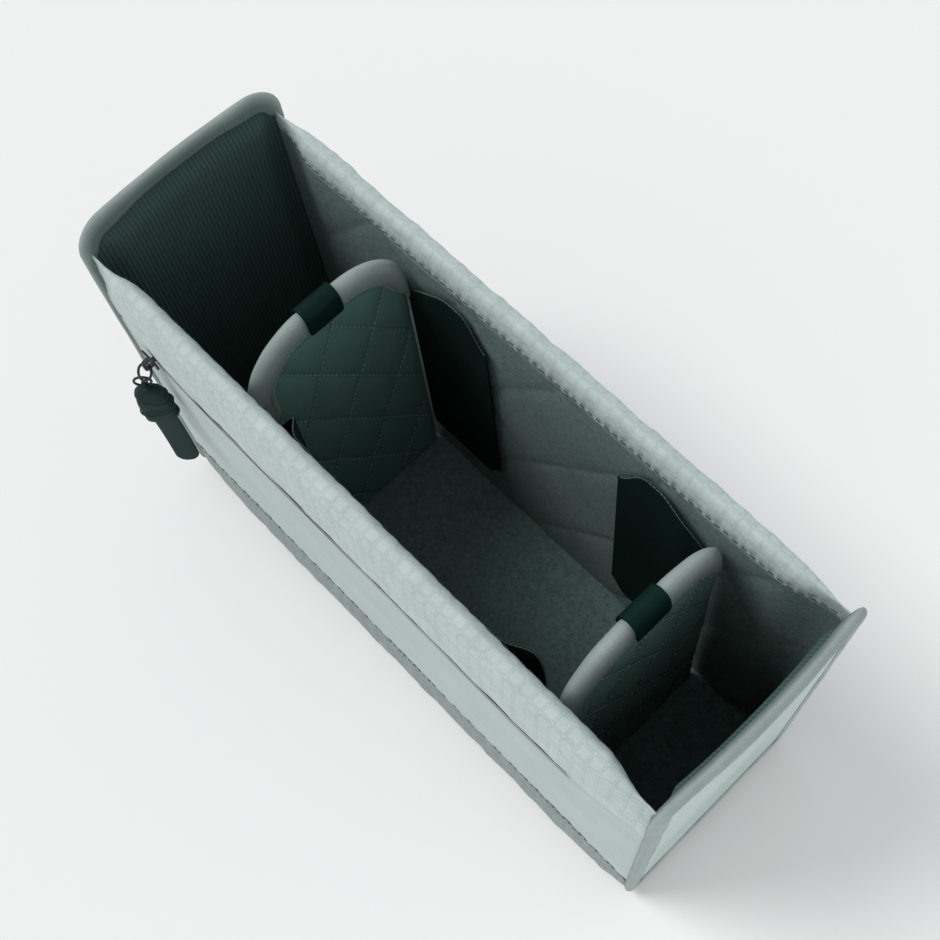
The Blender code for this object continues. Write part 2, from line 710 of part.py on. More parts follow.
def add_puller(slide):
    ring_joint = add_joint("slider_ring_joint", RING_AXIS, parent=slide)
    along = Vector((1, 0, 0))
    add_object("slider_ring", ring_mesh(RING_AXIS, RING_DOWN, along), "black_metal", parent=ring_joint, smooth=True)
    puller_joint = add_joint("puller_joint", LINK, parent=ring_joint)
    down = Vector((0, 0, -1))
    add_object("puller_ring", ring_mesh(PULLER_TOP, down, ACROSS), "black_metal", parent=puller_joint, smooth=True)
    wire_z = PULLER_TOP.z - 2 * RING_RADIUS
    neck_top = wire_z + NECK_HOLE / 2 + NECK_ROOF
    wrap_top = neck_top - NECK_LENGTH
    wrap_foot = wrap_top - WRAP_LENGTH
    shoulder = wrap_top - WRAP_ROUNDING
    neck = (NECK_WIDTH / 2, NECK_DEPTH / 2, NECK_WIDTH / 4)
    full = (WRAP_WIDTH / 2, WRAP_DEPTH / 2, WRAP_ROUNDING)
    taper = (full[0] * NECK_TAPER_SHARE, full[1] * NECK_TAPER_SHARE, WRAP_ROUNDING)
    sections = [(neck_top, neck), (wrap_top, neck), (wrap_top - GAP, taper), (shoulder - GAP, full),
                (wrap_foot + WRAP_ROUNDING, full), (wrap_foot, taper)]
    body = loft([puller_loop(z, *sizes) for z, sizes in sections])
    wrap = add_object("puller_wrap", body, "black_web", parent=puller_joint)
    bore = bmesh.new()
    bmesh.ops.create_cone(bore, cap_ends=True, segments=12, radius1=NECK_HOLE / 2, radius2=NECK_HOLE / 2,
                          depth=2 * NECK_WIDTH)
    aim = ACROSS.to_track_quat("Z", "Y").to_matrix().to_4x4()
    middle = Vector((PULLER_TOP.x, PULLER_TOP.y, wire_z))
    bmesh.ops.transform(bore, matrix=Matrix.Translation(middle) @ aim, verts=bore.verts)
    combine(wrap, add_guide("puller_bore_guide", bore), "DIFFERENCE")
    half = STRAP_WIDTH / 2
    top = wrap_foot - GAP
    tip = arc((0, top - STRAP_LENGTH + half), half, 180, 360, 2 * CORNER_STEPS)
    outline = [(half, top), (-half, top)] + tip
    bm = prism(outline, -STRAP_THICKNESS / 2, STRAP_THICKNESS / 2, (0, 2, 1))
    frame = Matrix((
        (ACROSS.x, THROUGH.x, 0, PULLER_TOP.x),
        (ACROSS.y, THROUGH.y, 0, PULLER_TOP.y),
        (0, 0, 1, 0),
        (0, 0, 0, 1),
    ))
    bmesh.ops.transform(bm, matrix=frame, verts=bm.verts)
    add_object("puller_strap", bm, "black_web", parent=puller_joint)


PAD_HALF = INNER_Y - GAP - TAPE - GAP
PAD_FOOT = FLOOR + GAP
PAD_TOP = RIM_HEIGHT - DIVIDER_DROP
DIVIDER_TAPE_END = PAD_TOP - DIVIDER_TAPE_REACH
LEFT_DIVIDER_X = LEFT_DIVIDER_FROM_END - LENGTH / 2
RIGHT_DIVIDER_X = LENGTH / 2 - RIGHT_DIVIDER_FROM_END
WING_FOOT = FLOOR + WING_ABOVE_FLOOR
WING_ROOT_TOP = PAD_TOP - WING_ROOT_DROP
WING_TOP = PAD_TOP - WING_TIP_DROP
WING_OUTER = INNER_Y - GAP
WING_ROOT = DIVIDER_PAD / 2 + WING_CLOTH / 2 + GAP


def divider_outline(inset):
    return rounded_outline(PAD_HALF, PAD_FOOT, PAD_TOP, DIVIDER_BOTTOM_RADIUS, DIVIDER_TOP_RADIUS, inset)


def arch_line(inset):
    """Open line over the divider's top, between the two ends of its binding, drawn in by an inset."""
    half = PAD_HALF - inset
    top = PAD_TOP - inset
    radius = DIVIDER_TOP_RADIUS - inset
    right = arc((half - radius, top - radius), radius, 0, 90, CORNER_STEPS)
    left = arc((radius - half, top - radius), radius, 90, 180, CORNER_STEPS)
    over = right + between(right[-1], left[0], TOP_STEPS) + left
    return [(half, DIVIDER_TAPE_END)] + over + [(-half, DIVIDER_TAPE_END)]


def wing_outline(direction, x):
    """Leaf-shaped side flap in X and Z, from its root on the pad to its rounded free edge."""
    rise = WING_TOP - WING_ROOT_TOP
    points = [(0, WING_FOOT), (0, WING_ROOT_TOP)]
    for along_share, rise_share in WING_TIP_SHARES:
        points.append((WING_LENGTH * along_share, WING_ROOT_TOP + rise * rise_share))
    tip = arc((WING_LENGTH - WING_ROUND, WING_FOOT + WING_ROUND), WING_ROUND, 0, -90, CORNER_STEPS)
    points += tip
    return [(x + direction * along, z) for along, z in points]


def add_wing(name, direction, side, x, parent):
    """A side flap with its hook strip, hinged on the pad's edge and folded along the wall."""
    root = x + direction * WING_ROOT
    outer = WING_OUTER - HOOK_STRIP - GAP
    pivot = (root, side * (outer - WING_CLOTH / 2), WING_FOOT)
    joint = add_joint(name + "_joint", pivot, parent=parent)
    wing = prism(wing_outline(direction, root), side * (outer - WING_CLOTH), side * outer, (0, 2, 1))
    add_object(name + "_wing", wing, "divider_cloth", parent=joint)
    start = root + direction * (WING_LENGTH - HOOK_MARGIN - HOOK_WIDTH)
    stop = start + direction * HOOK_WIDTH
    low = WING_FOOT + WING_ROUND
    high = WING_TOP - HOOK_HEAD
    outline = [(start, low), (stop, low), (stop, high), (start, high)]
    strip = prism(outline, side * (outer + GAP), side * (outer + GAP + HOOK_STRIP), (0, 2, 1))
    add_object(name + "_hook_strip", strip, "hook_tape", parent=joint)


def add_divider(name, x, direction):
    """A padded divider with bound arch, pull tab and two side flaps that point along direction."""
    joint = add_joint(name + "_joint", (x, 0, PAD_FOOT))
    half = DIVIDER_PAD / 2
    pad = prism(divider_outline(0), x - half, x + half, (1, 2, 0))
    add_object(name + "_pad", pad, "divider_cloth", parent=joint)
    section = tape_section(DIVIDER_PAD, DIVIDER_TAPE_LEG)
    outlines = [arch_line(inset) for inset, _ in section]
    loops = []
    for index in range(len(outlines[0])):
        loop = []
        for outline, (_, depth) in zip(outlines, section):
            y, z = outline[index]
            loop.append((x - half + depth, y, z))
        loops.append(loop)
    add_object(name + "_binding", loft(loops), "binding_tape", parent=joint, smooth=True)
    inner = half + TAPE + GAP + GAP
    outer = inner + TAPE
    roof = PAD_TOP + TAPE + GAP + GAP
    foot = roof - PULL_TAB_LEG
    outside = arc((0, roof), outer, 180, 0, ARC_STEPS)
    inside = arc((0, roof), inner, 0, 180, ARC_STEPS)
    outline = [(-outer, foot)]
    outline += [(across, roof + (z - roof) / outer * (PULL_TAB_CROWN + TAPE)) for across, z in outside]
    outline += [(outer, foot), (inner, foot)]
    outline += [(across, roof + (z - roof) / inner * PULL_TAB_CROWN) for across, z in inside]
    outline += [(-inner, foot)]
    outline = [(x + across, z) for across, z in outline]
    tab = prism(outline, -PULL_TAB_WIDTH / 2, PULL_TAB_WIDTH / 2, (0, 2, 1))
    add_object(name + "_pull_tab", tab, "black_web", parent=joint)
    add_wing(name + "_back", direction, 1, x, joint)
    add_wing(name + "_front", direction, -1, x, joint)


def main():
    clear_scene()
    add_base()
    add_front_wall()
    add_back_wall()
    add_end(-1, "left")
    add_end(1, "right")
    add_zip()
    slide = add_slider()
    add_puller(slide)
    add_divider("left_divider", LEFT_DIVIDER_X, 1)
    add_divider("right_divider", RIGHT_DIVIDER_X, -1)


main()
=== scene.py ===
"""Padded camera bag insert: sewn cloth, quilting, binding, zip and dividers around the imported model.

Metres, +Z up. X runs along the insert, the zip pocket faces -Y.
"""

import math
from functools import lru_cache

import bmesh
import bpy
from mathutils import Matrix, Vector, noise


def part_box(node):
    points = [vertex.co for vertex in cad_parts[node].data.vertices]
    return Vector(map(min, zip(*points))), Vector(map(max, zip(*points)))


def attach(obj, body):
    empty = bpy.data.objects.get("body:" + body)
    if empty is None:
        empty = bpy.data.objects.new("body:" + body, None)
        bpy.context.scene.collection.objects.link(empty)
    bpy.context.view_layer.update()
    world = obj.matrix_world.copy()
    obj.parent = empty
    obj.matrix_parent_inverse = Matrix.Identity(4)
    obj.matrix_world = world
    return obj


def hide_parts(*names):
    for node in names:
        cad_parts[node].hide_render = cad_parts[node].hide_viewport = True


bl_info = {
    "name": "Camera bag insert",
    "version": (1, 0, 0),
    "blender": (4, 5, 0),
    "location": "View3D > Sidebar > Insert",
    "description": "Makes the cloth, quilting, binding, zip and dividers of a padded camera bag insert",
    "category": "Object",
}

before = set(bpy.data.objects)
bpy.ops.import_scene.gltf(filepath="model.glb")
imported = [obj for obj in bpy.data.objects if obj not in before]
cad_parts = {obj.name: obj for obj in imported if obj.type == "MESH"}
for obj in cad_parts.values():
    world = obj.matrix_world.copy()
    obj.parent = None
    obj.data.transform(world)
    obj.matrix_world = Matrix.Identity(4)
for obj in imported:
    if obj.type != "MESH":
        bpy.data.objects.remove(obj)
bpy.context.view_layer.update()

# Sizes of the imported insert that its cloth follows
LENGTH = 0.300
WIDTH = 0.100
HEIGHT = 0.200
END_LEAN = 0.004
END_BOW = -0.0028
END_BOW_FOOT = 0.012
END_STACK = 0.0082
END_FOOT = 0.0010
END_TOP_RADIUS = 0.014
END_BOTTOM_RADIUS = 0.009
TAPE = 0.0010
GAP = 0.0003
RUN = LENGTH / 2 - END_STACK
WALL_END = 0.0034
HALF_WALL = 0.0488
INNER_Y = 0.0406
RIM = 0.189
RIM_STITCH = 0.1795
LINING_TOP = 0.1767
WALL_FOOT = 0.0040
BAND_TOP = 0.0240
FLOOR = 0.0088
BULGES = {-1: 0.0040, 1: 0.0014}
BULGE_TOP = 0.220
PANEL_GROOVE = 0.0008
PANEL_GROOVE_UNDER = 0.0022
ZIP_HEIGHT = 0.148
ZIP_START = -0.1245
ZIP_END = 0.115
ZIP_CLOSED_GAP = 0.00015
ZIP_LIP_GAP = 0.0024
ZIP_TAPE_BEHIND = 0.0005
LIP_DIP = 0.14
CORE_BEHIND = {-1: 0.0062, 1: 0.0024}
RIPSTOP_SPACING = 0.0052
PULLER_TURN = math.radians(50)
PAD_HALF_THICKNESS = 0.0030
PAD_HALF = 0.0390
PAD_FOOT = 0.0091
PAD_TOP = 0.186
PAD_TOP_RADII = {-1: 0.032, 1: 0.028}
PAD_FOOT_RADIUS = 0.005
PAD_TAPE_ENDS = {-1: 0.130, 1: 0.148}
DIVIDERS = {"left_divider": (-0.069, 1), "right_divider": (0.097, -1)}


def length_property(name, description, default, low, high):
    return bpy.props.FloatProperty(
        name=name, description=description, default=default, min=low, max=high, unit="LENGTH")


def colour_property(name, description, default):
    return bpy.props.FloatVectorProperty(
        name=name, description=description, subtype="COLOR", size=3, default=default, min=0, max=1)


class InsertSizes(bpy.types.PropertyGroup):
    """Sizes of the sewing and the cloth."""
    pinch: length_property("Pinch", "How far a wall thins where it meets an end panel", 0.0048, 0, 0.006)
    pinch_run: length_property("Pinch run", "Length over which a wall thins towards its end", 0.022, 0.005, 0.06)
    crumple: length_property("Crumple", "Height of the soft waves in the outer cloth", 0.0007, 0, 0.003)
    pucker: length_property("Pucker", "Height of the small puckers beside a seam", 0.00035, 0, 0.002)
    pucker_pitch: length_property("Pucker pitch", "Distance between puckers along a seam", 0.0085, 0.002, 0.05)
    quilt_puff: length_property("Quilt puff", "Height of the quilted lozenges over their seams", 0.0011, 0, 0.003)
    stitch_length: length_property("Stitch length", "Length of one stitch", 0.0024, 0.001, 0.01)
    stitch_pitch: length_property("Stitch pitch", "Distance between stitches", 0.0036, 0.001, 0.02)
    thread: length_property("Thread", "Thickness of the sewing thread", 0.0005, 0.0002, 0.002)


class InsertColours(bpy.types.PropertyGroup):
    """Colours of the cloths, tapes and metal."""
    outer: colour_property("Outer cloth", "Ripstop of the rims and the base", (0.42, 0.495, 0.48))
    panel: colour_property("Panel cloth", "Smooth cloth of the pocket and the ends", (0.42, 0.50, 0.475))
    tape: colour_property("Binding tape", "Ribbed tape round the ends and dividers", (0.35, 0.42, 0.40))
    lining: colour_property("Wall lining", "Brushed lining of the walls and the floor", (0.125, 0.190, 0.176))
    ribbed: colour_property("Ribbed lining", "Ribbed lining inside the ends", (0.045, 0.095, 0.083))
    divider: colour_property("Divider cloth", "Brushed cloth of the dividers", (0.088, 0.190, 0.166))
    wing: colour_property("Wing cloth", "Black cloth of the dividers' side wings", (0.004, 0.015, 0.012))
    rubber: colour_property("Puller rubber", "Smooth black of the puller", (0.012, 0.030, 0.027))
    tab: colour_property("Tab", "Smooth black of the dividers' pull tabs", (0.001, 0.0125, 0.010))
    black: colour_property("Black web", "Webbing, zip tape and hook tape", (0.005, 0.012, 0.012))
    metal: colour_property("Black metal", "Zip slider, rings and stops", (0.030, 0.034, 0.035))


def sizes():
    return bpy.context.scene.insert_sizes


def colours():
    return bpy.context.scene.insert_colours


# Shader nodes

def new_group(name, takes, gives):
    """An empty node group with named float, vector or colour sockets."""
    tree = bpy.data.node_groups.new(name, "ShaderNodeTree")
    for direction, sockets in (("INPUT", takes), ("OUTPUT", gives)):
        for title, kind, value in sockets:
            socket = tree.interface.new_socket(name=title, in_out=direction, socket_type="NodeSocket" + kind)
            if value is not None:
                socket.default_value = value
    return tree, tree.nodes.new("NodeGroupInput"), tree.nodes.new("NodeGroupOutput")


def math_node(tree, kind, first, second=None):
    """A Math node with each input linked or set, giving its output."""
    node = tree.nodes.new("ShaderNodeMath")
    node.operation = kind
    for socket, value in zip(node.inputs, (first, second)):
        if value is None:
            continue
        if isinstance(value, (int, float)):
            socket.default_value = value
        else:
            tree.links.new(value, socket)
    return node.outputs[0]


def split(tree, vector):
    node = tree.nodes.new("ShaderNodeSeparateXYZ")
    tree.links.new(vector, node.inputs[0])
    return node.outputs[0], node.outputs[1]


def wave(tree, along, pitch):
    """A sine along a length in metres, from 0 to 1."""
    turns = math_node(tree, "DIVIDE", along, pitch)
    angle = math_node(tree, "MULTIPLY", turns, 2 * math.pi)
    sine = math_node(tree, "SINE", angle)
    half = math_node(tree, "MULTIPLY", sine, 0.5)
    return math_node(tree, "ADD", half, 0.5)


@lru_cache(maxsize=None)
def weave_group():
    """Plain weave: crossing threads that rise and fall."""
    tree, start, end = new_group(
        "Plain weave", (("Vector", "Vector", None), ("Pitch", "Float", 0.0006)), (("Height", "Float", None),))
    across, along = split(tree, start.outputs["Vector"])
    pitch = start.outputs["Pitch"]
    tree.links.new(math_node(tree, "MULTIPLY", wave(tree, across, pitch), wave(tree, along, pitch)),
                   end.inputs["Height"])
    return tree


@lru_cache(maxsize=None)
def ribs_group():
    """Woven ribs along one direction, broken by fine crossing threads."""
    tree, start, end = new_group(
        "Woven ribs", (("Vector", "Vector", None), ("Pitch", "Float", 0.001), ("Break", "Float", 0.0012)),
        (("Height", "Float", None),))
    across, along = split(tree, start.outputs["Vector"])
    rib = wave(tree, across, start.outputs["Pitch"])
    broken = wave(tree, along, start.outputs["Break"])
    dotted = math_node(tree, "MULTIPLY", rib, math_node(tree, "ADD", math_node(tree, "MULTIPLY", broken, 0.4), 0.6))
    tree.links.new(dotted, end.inputs["Height"])
    return tree


@lru_cache(maxsize=None)
def ripstop_group():
    """A square grid of thicker threads; Crossing marks where two of them meet."""
    tree, start, end = new_group(
        "Ripstop grid", (("Vector", "Vector", None), ("Spacing", "Float", 0.005), ("Sharpness", "Float", 24.0)),
        (("Thread", "Float", None), ("Crossing", "Float", None)))
    lines = []
    for length in split(tree, start.outputs["Vector"]):
        lines.append(math_node(tree, "POWER", wave(tree, length, start.outputs["Spacing"]),
                               start.outputs["Sharpness"]))
    tree.links.new(math_node(tree, "MAXIMUM", lines[0], lines[1]), end.inputs["Thread"])
    tree.links.new(math_node(tree, "MULTIPLY", lines[0], lines[1]), end.inputs["Crossing"])
    return tree


@lru_cache(maxsize=None)
def mottle_group():
    """Uneven dye and wear: broad patches with a fine fibre grain over them."""
    tree, start, end = new_group(
        "Cloth mottle", (("Vector", "Vector", None), ("Patch", "Float", 60.0), ("Grain", "Float", 900.0),
               ("Grain Share", "Float", 0.4)),
        (("Value", "Float", None), ("Grain", "Float", None)))
    broad = tree.nodes.new("ShaderNodeTexNoise")
    fine = tree.nodes.new("ShaderNodeTexNoise")
    broad.inputs["Detail"].default_value = 4
    fine.inputs["Detail"].default_value = 3
    for node, socket in ((broad, "Patch"), (fine, "Grain")):
        tree.links.new(start.outputs["Vector"], node.inputs["Vector"])
        tree.links.new(start.outputs[socket], node.inputs["Scale"])
    mix = tree.nodes.new("ShaderNodeMix")
    tree.links.new(start.outputs["Grain Share"], mix.inputs[0])
    tree.links.new(broad.outputs[0], mix.inputs[2])
    tree.links.new(fine.outputs[0], mix.inputs[3])
    tree.links.new(mix.outputs[0], end.inputs["Value"])
    tree.links.new(fine.outputs[0], end.inputs["Grain"])
    return tree


def place_group(tree, group, **values):
    node = tree.nodes.new("ShaderNodeGroup")
    node.node_tree = group
    for title, value in values.items():
        socket = node.inputs[title.replace("_", " ")]
        if isinstance(value, (int, float)):
            socket.default_value = value
        else:
            tree.links.new(value, socket)
    return node.outputs


def new_material(name, roughness, metallic=0.0, sheen=0.0, specular=0.25):
    material = bpy.data.materials.new(name)
    material.use_nodes = True
    tree = material.node_tree
    shader = tree.nodes["Principled BSDF"]
    shader.inputs["Roughness"].default_value = roughness
    shader.inputs["Metallic"].default_value = metallic
    shader.inputs["Sheen Weight"].default_value = sheen
    shader.inputs["Specular IOR Level"].default_value = specular
    return material, tree, shader, tree.nodes.new("ShaderNodeTexCoord").outputs


def add(tree, first, second):
    return math_node(tree, "ADD", first, second)


def times(tree, first, second):
    return math_node(tree, "MULTIPLY", first, second)


def tint(tree, shader, colour, mask, dark, light):
    """Colour the surface from a darker to a lighter value of one colour by a mask."""
    mix = tree.nodes.new("ShaderNodeMix")
    mix.data_type = "RGBA"
    mix.inputs[6].default_value = (*[channel * dark for channel in colour], 1)
    mix.inputs[7].default_value = (*[min(channel * light, 1) for channel in colour], 1)
    tree.links.new(mask, mix.inputs[0])
    tree.links.new(mix.outputs[2], shader.inputs["Base Color"])
    return mix


def spread(tree, value, low, high):
    """Stretch the middle of a value to run from 0 to 1."""
    node = tree.nodes.new("ShaderNodeMapRange")
    node.inputs["From Min"].default_value = low
    node.inputs["From Max"].default_value = high
    tree.links.new(value, node.inputs["Value"])
    return node.outputs[0]


def relief(tree, shader, height, depth):
    bump = tree.nodes.new("ShaderNodeBump")
    bump.inputs["Distance"].default_value = depth
    bump.inputs["Strength"].default_value = 1.0
    tree.links.new(height, bump.inputs["Height"])
    tree.links.new(bump.outputs[0], shader.inputs["Normal"])


def mottled(tree, at, patch, grain, share=0.4):
    return place_group(tree, mottle_group(), Vector=at["Object"], Patch=patch, Grain=grain, Grain_Share=share)


def ribbed(tree, at, pitch, gap):
    return place_group(tree, ribs_group(), Vector=at["UV"], Pitch=pitch, Break=gap)["Height"]


def woven(tree, at, pitch):
    return place_group(tree, weave_group(), Vector=at["UV"], Pitch=pitch)["Height"]


def ripstop_grid(tree, at, spacing, sharpness):
    return place_group(tree, ripstop_group(), Vector=at["UV"], Spacing=spacing, Sharpness=sharpness)


@lru_cache(maxsize=None)
def ripstop():
    """Sage ripstop with a pale grid of thicker threads, and painted shade in a faint dark line along each side of
    them.
    """
    material, tree, shader, at = new_material("sage_ripstop", 0.72, sheen=0.10)
    grid = ripstop_grid(tree, at, RIPSTOP_SPACING, 40.0)
    broad = ripstop_grid(tree, at, RIPSTOP_SPACING, 12.0)
    mottle = mottled(tree, at, 120.0, 1400.0, 0.45)
    threads = add(tree, times(tree, grid["Thread"], 0.04), times(tree, grid["Crossing"], 0.25))
    # Painted shade: a faint dark line on each side of each thicker thread, as shade beside a raised thread
    beside = times(tree, math_node(tree, "SUBTRACT", broad["Thread"], grid["Thread"]), -0.62)
    patches = times(tree, spread(tree, mottle["Value"], 0.30, 0.72), 0.42)
    mask = add(tree, patches, add(tree, threads, beside))
    tint(tree, shader, colours().outer, add(tree, mask, 0.35), 0.74, 1.36)
    height = add(tree, times(tree, woven(tree, at, 0.00065), 0.35), times(tree, grid["Thread"], 0.55))
    relief(tree, shader, add(tree, height, mottle["Grain"]), 0.00010)
    return material


@lru_cache(maxsize=None)
def panel_cloth():
    """Smooth tightly woven cloth of the pocket and the ends."""
    material, tree, shader, at = new_material("sage_panel_cloth", 0.66, sheen=0.12)
    mottle = mottled(tree, at, 45.0, 1600.0, 0.3)
    tint(tree, shader, colours().panel, spread(tree, mottle["Value"], 0.32, 0.68), 0.94, 1.05)
    relief(tree, shader, add(tree, woven(tree, at, 0.0005), mottle["Grain"]), 0.00008)
    return material


@lru_cache(maxsize=None)
def band_cloth():
    """Coarser mottled ripstop of the base."""
    material, tree, shader, at = new_material("grey_band_cloth", 0.80, sheen=0.08)
    grid = ripstop_grid(tree, at, 0.0034, 14.0)
    mottle = mottled(tree, at, 160.0, 1100.0, 0.5)
    mask = add(tree, spread(tree, mottle["Value"], 0.34, 0.66), times(tree, grid["Thread"], 0.25))
    tint(tree, shader, [channel * 0.59 for channel in colours().outer], mask, 0.80, 1.14)
    relief(tree, shader, add(tree, grid["Thread"], mottle["Grain"]), 0.00018)
    return material


@lru_cache(maxsize=None)
def binding_tape(name, middle, near, far, leg):
    """Pale ribbed tape; the ribs run across it, and painted shade darkens its legs from near to far off the fold's
    middle.
    """
    material, tree, shader, at = new_material(name, 0.78, sheen=0.15)
    ribs = ribbed(tree, at, 0.00070, 0.0008)
    mottle = mottled(tree, at, 70.0, 1200.0, 0.35)
    mask = add(tree, times(tree, ribs, 0.55), times(tree, spread(tree, mottle["Value"], 0.3, 0.7), 0.45))
    mix = tint(tree, shader, colours().tape, mask, 0.62, 1.18)
    # Painted shade: off the fold's middle the tape's colour is multiplied towards leg, the shaded colour of its legs
    _, length = split(tree, at["UV"])
    off = math_node(tree, "ABSOLUTE", math_node(tree, "SUBTRACT", length, middle))
    dark = tree.nodes.new("ShaderNodeMix")
    dark.data_type = "RGBA"
    dark.blend_type = "MULTIPLY"
    dark.inputs[7].default_value = (*leg, 1)
    tree.links.new(spread(tree, off, near, far), dark.inputs[0])
    tree.links.new(mix.outputs[2], dark.inputs[6])
    tree.links.new(dark.outputs[2], shader.inputs["Base Color"])
    relief(tree, shader, ribs, 0.00022)
    return material


@lru_cache(maxsize=None)
def rib_lining():
    """Dark ribbed lining with upright ribs."""
    material, tree, shader, at = new_material("dark_rib_lining", 0.88, sheen=0.05)
    ribs = ribbed(tree, at, 0.0018, 0.0008)
    mottle = mottled(tree, at, 60.0, 1500.0)
    mask = add(tree, times(tree, ribs, 0.7), times(tree, mottle["Value"], 0.3))
    tint(tree, shader, colours().ribbed, mask, 0.62, 1.35)
    relief(tree, shader, ribs, 0.00035)
    return material


@lru_cache(maxsize=None)
def black_web():
    """Black woven webbing."""
    material, tree, shader, at = new_material("black_webbing", 0.62, sheen=0.10)
    ribs = ribbed(tree, at, 0.0011, 0.0009)
    mottle = mottled(tree, at, 90.0, 1400.0)
    tint(tree, shader, colours().black, times(tree, ribs, spread(tree, mottle["Value"], 0.2, 0.7)), 0.75, 1.7)
    relief(tree, shader, ribs, 0.00020)
    return material


@lru_cache(maxsize=None)
def hook_tape():
    """Black hook tape with rows of stiff hooks."""
    material, tree, shader, at = new_material("black_hook_tape", 0.5)
    weave = woven(tree, at, 0.0016)
    tint(tree, shader, colours().black, weave, 0.6, 1.9)
    relief(tree, shader, weave, 0.0005)
    return material


def plain(name, roughness, colour, shades, scales, depth, ends=None, share=0.4, **finish):
    """One colour from a darker to a lighter shade by a mottle, with its grain as relief."""
    material, tree, shader, at = new_material(name, roughness, **finish)
    mottle = mottled(tree, at, *scales, share)
    mask = spread(tree, mottle["Value"], *ends) if ends else mottle["Value"]
    tint(tree, shader, colour, mask, *shades)
    relief(tree, shader, mottle["Grain"], depth)
    return material


def brushed(name, colour, shades, patch=90.0, **finish):
    """Brushed loop cloth: a soft matted nap."""
    return plain(name, 0.95, colour, shades, (patch, 1300.0), 0.00030, (0.30, 0.70), 0.55, **finish)


def matt_black(name, colour):
    """Smooth matt black."""
    return plain(name, 0.55, colour, (0.85, 1.2), (110.0, 1500.0), 0.00006, (0.3, 0.7), specular=0.08)


@lru_cache(maxsize=None)
def wall_lining():
    return brushed("brushed_wall_lining", colours().lining, (0.55, 1.45), patch=420.0, sheen=0.06)


@lru_cache(maxsize=None)
def divider_cloth():
    return brushed("brushed_divider_cloth", colours().divider, (0.86, 1.16), sheen=0.06)


@lru_cache(maxsize=None)
def wing_cloth():
    return brushed("black_wing_cloth", colours().wing, (0.8, 1.3), specular=0.10)


@lru_cache(maxsize=None)
def puller_rubber():
    return matt_black("matt_puller_rubber", colours().rubber)


@lru_cache(maxsize=None)
def tab_web():
    return matt_black("matt_black_tab", colours().tab)


@lru_cache(maxsize=None)
def black_metal():
    """Black lacquered metal, rubbed a little paler."""
    return plain("black_lacquered_metal", 0.30, colours().metal, (0.8, 1.6), (300.0, 2600.0), 0.00003,
                 (0.3, 0.75), metallic=0.6)


@lru_cache(maxsize=None)
def zip_plastic():
    """Black moulded zip teeth."""
    return plain("black_zip_plastic", 0.42, colours().black, (0.8, 1.5), (400.0, 2400.0), 0.00003)


@lru_cache(maxsize=None)
def foam_core():
    """Closed-cell foam inside the walls."""
    return plain("grey_foam", 0.95, (0.08, 0.08, 0.08), (0.7, 1.3), (900.0, 2200.0), 0.0003)


@lru_cache(maxsize=None)
def board():
    """Thin stiffening board with a faint grain."""
    return plain("grey_board", 0.6, (0.30, 0.30, 0.29), (0.85, 1.1), (40.0, 1200.0), 0.00005)


@lru_cache(maxsize=None)
def thread(name, colour):
    """Twisted sewing thread."""
    return plain(name, 0.55, colour, (0.8, 1.25), (1500.0, 5000.0), 0.00005, sheen=0.1)


# Cloth pieces

def deselect():
    if bpy.context.mode != "OBJECT":
        bpy.ops.object.mode_set(mode="OBJECT")
    bpy.ops.object.select_all(action="DESELECT")


def pick(piece):
    """Make a piece the only selected object."""
    deselect()
    piece.select_set(True)
    bpy.context.view_layer.objects.active = piece


def cloth_grid(name, columns, rows, place):
    """A grid laid by place(across, up), which gives each point and its cloth coordinates in metres."""
    deselect()
    bpy.ops.mesh.primitive_grid_add(x_subdivisions=columns, y_subdivisions=rows, size=1)
    piece = bpy.context.active_object
    piece.name = name
    mesh = piece.data
    mesh.name = name
    spots = [place(vert.co.x + 0.5, vert.co.y + 0.5) for vert in mesh.vertices]
    for vert, (point, _) in zip(mesh.vertices, spots):
        vert.co = point
    cloth = mesh.uv_layers.active.data
    for loop in mesh.loops:
        cloth[loop.index].uv = spots[loop.vertex_index][1]
    mesh.update()
    return piece


def turn_out(piece, outward):
    """Point the faces outwards; outward(place) gives the outward direction there."""
    total = 0
    for face in piece.data.polygons:
        total += face.normal.dot(outward(face.center)) * face.area
    if total < 0:
        piece.data.flip_normals()


def ruffle(piece, rise):
    """Move each point along its normal by rise(place)."""
    mesh = piece.data
    moves = [vert.normal * rise(vert.co) for vert in mesh.vertices]
    for vert, move in zip(mesh.vertices, moves):
        vert.co += move
    mesh.update()


def thicken(piece, depth):
    """Give the cloth its thickness, inwards from its face."""
    change = piece.modifiers.new("thickness", "SOLIDIFY")
    change.thickness = depth
    change.offset = -1
    change.use_even_offset = True
    bpy.context.view_layer.objects.active = piece
    bpy.ops.object.modifier_apply(modifier=change.name)


def weld(piece):
    """Close the seam and the poles of a wrapped grid."""
    pick(piece)
    bpy.ops.object.mode_set(mode="EDIT")
    bpy.ops.mesh.select_all(action="SELECT")
    bpy.ops.mesh.remove_doubles(threshold=0.00002)
    bpy.ops.mesh.normals_make_consistent(inside=False)
    bpy.ops.object.mode_set(mode="OBJECT")


def sew_in(piece, material, body, slot, *nodes):
    """Give a finished piece its material, its body and the nodes that it stands for."""
    piece.data.materials.clear()
    piece.data.materials.append(material)
    pick(piece)
    bpy.ops.object.shade_smooth()
    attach(piece, body)
    if nodes:
        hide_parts(*nodes)
    return piece


def smooth(share):
    share = min(max(share, 0), 1)
    return share * share * (3 - 2 * share)


def end_plane(y, z):
    """Distance from the middle to the outside of an end, with its lean and its bow."""
    lean = END_LEAN * (1 - z / HEIGHT)
    rise = min(max(0, z - END_BOW_FOOT) / (HEIGHT - END_BOW_FOOT), 1)
    return LENGTH / 2 - lean - END_BOW * math.cos(math.pi * y / WIDTH) * math.sin(math.pi / 2 * rise)


def span_x(share, y, z):
    """Place along a wall, whose cloth runs on under the bound edge of each end."""
    return share * (end_plane(y, z) - WALL_END)


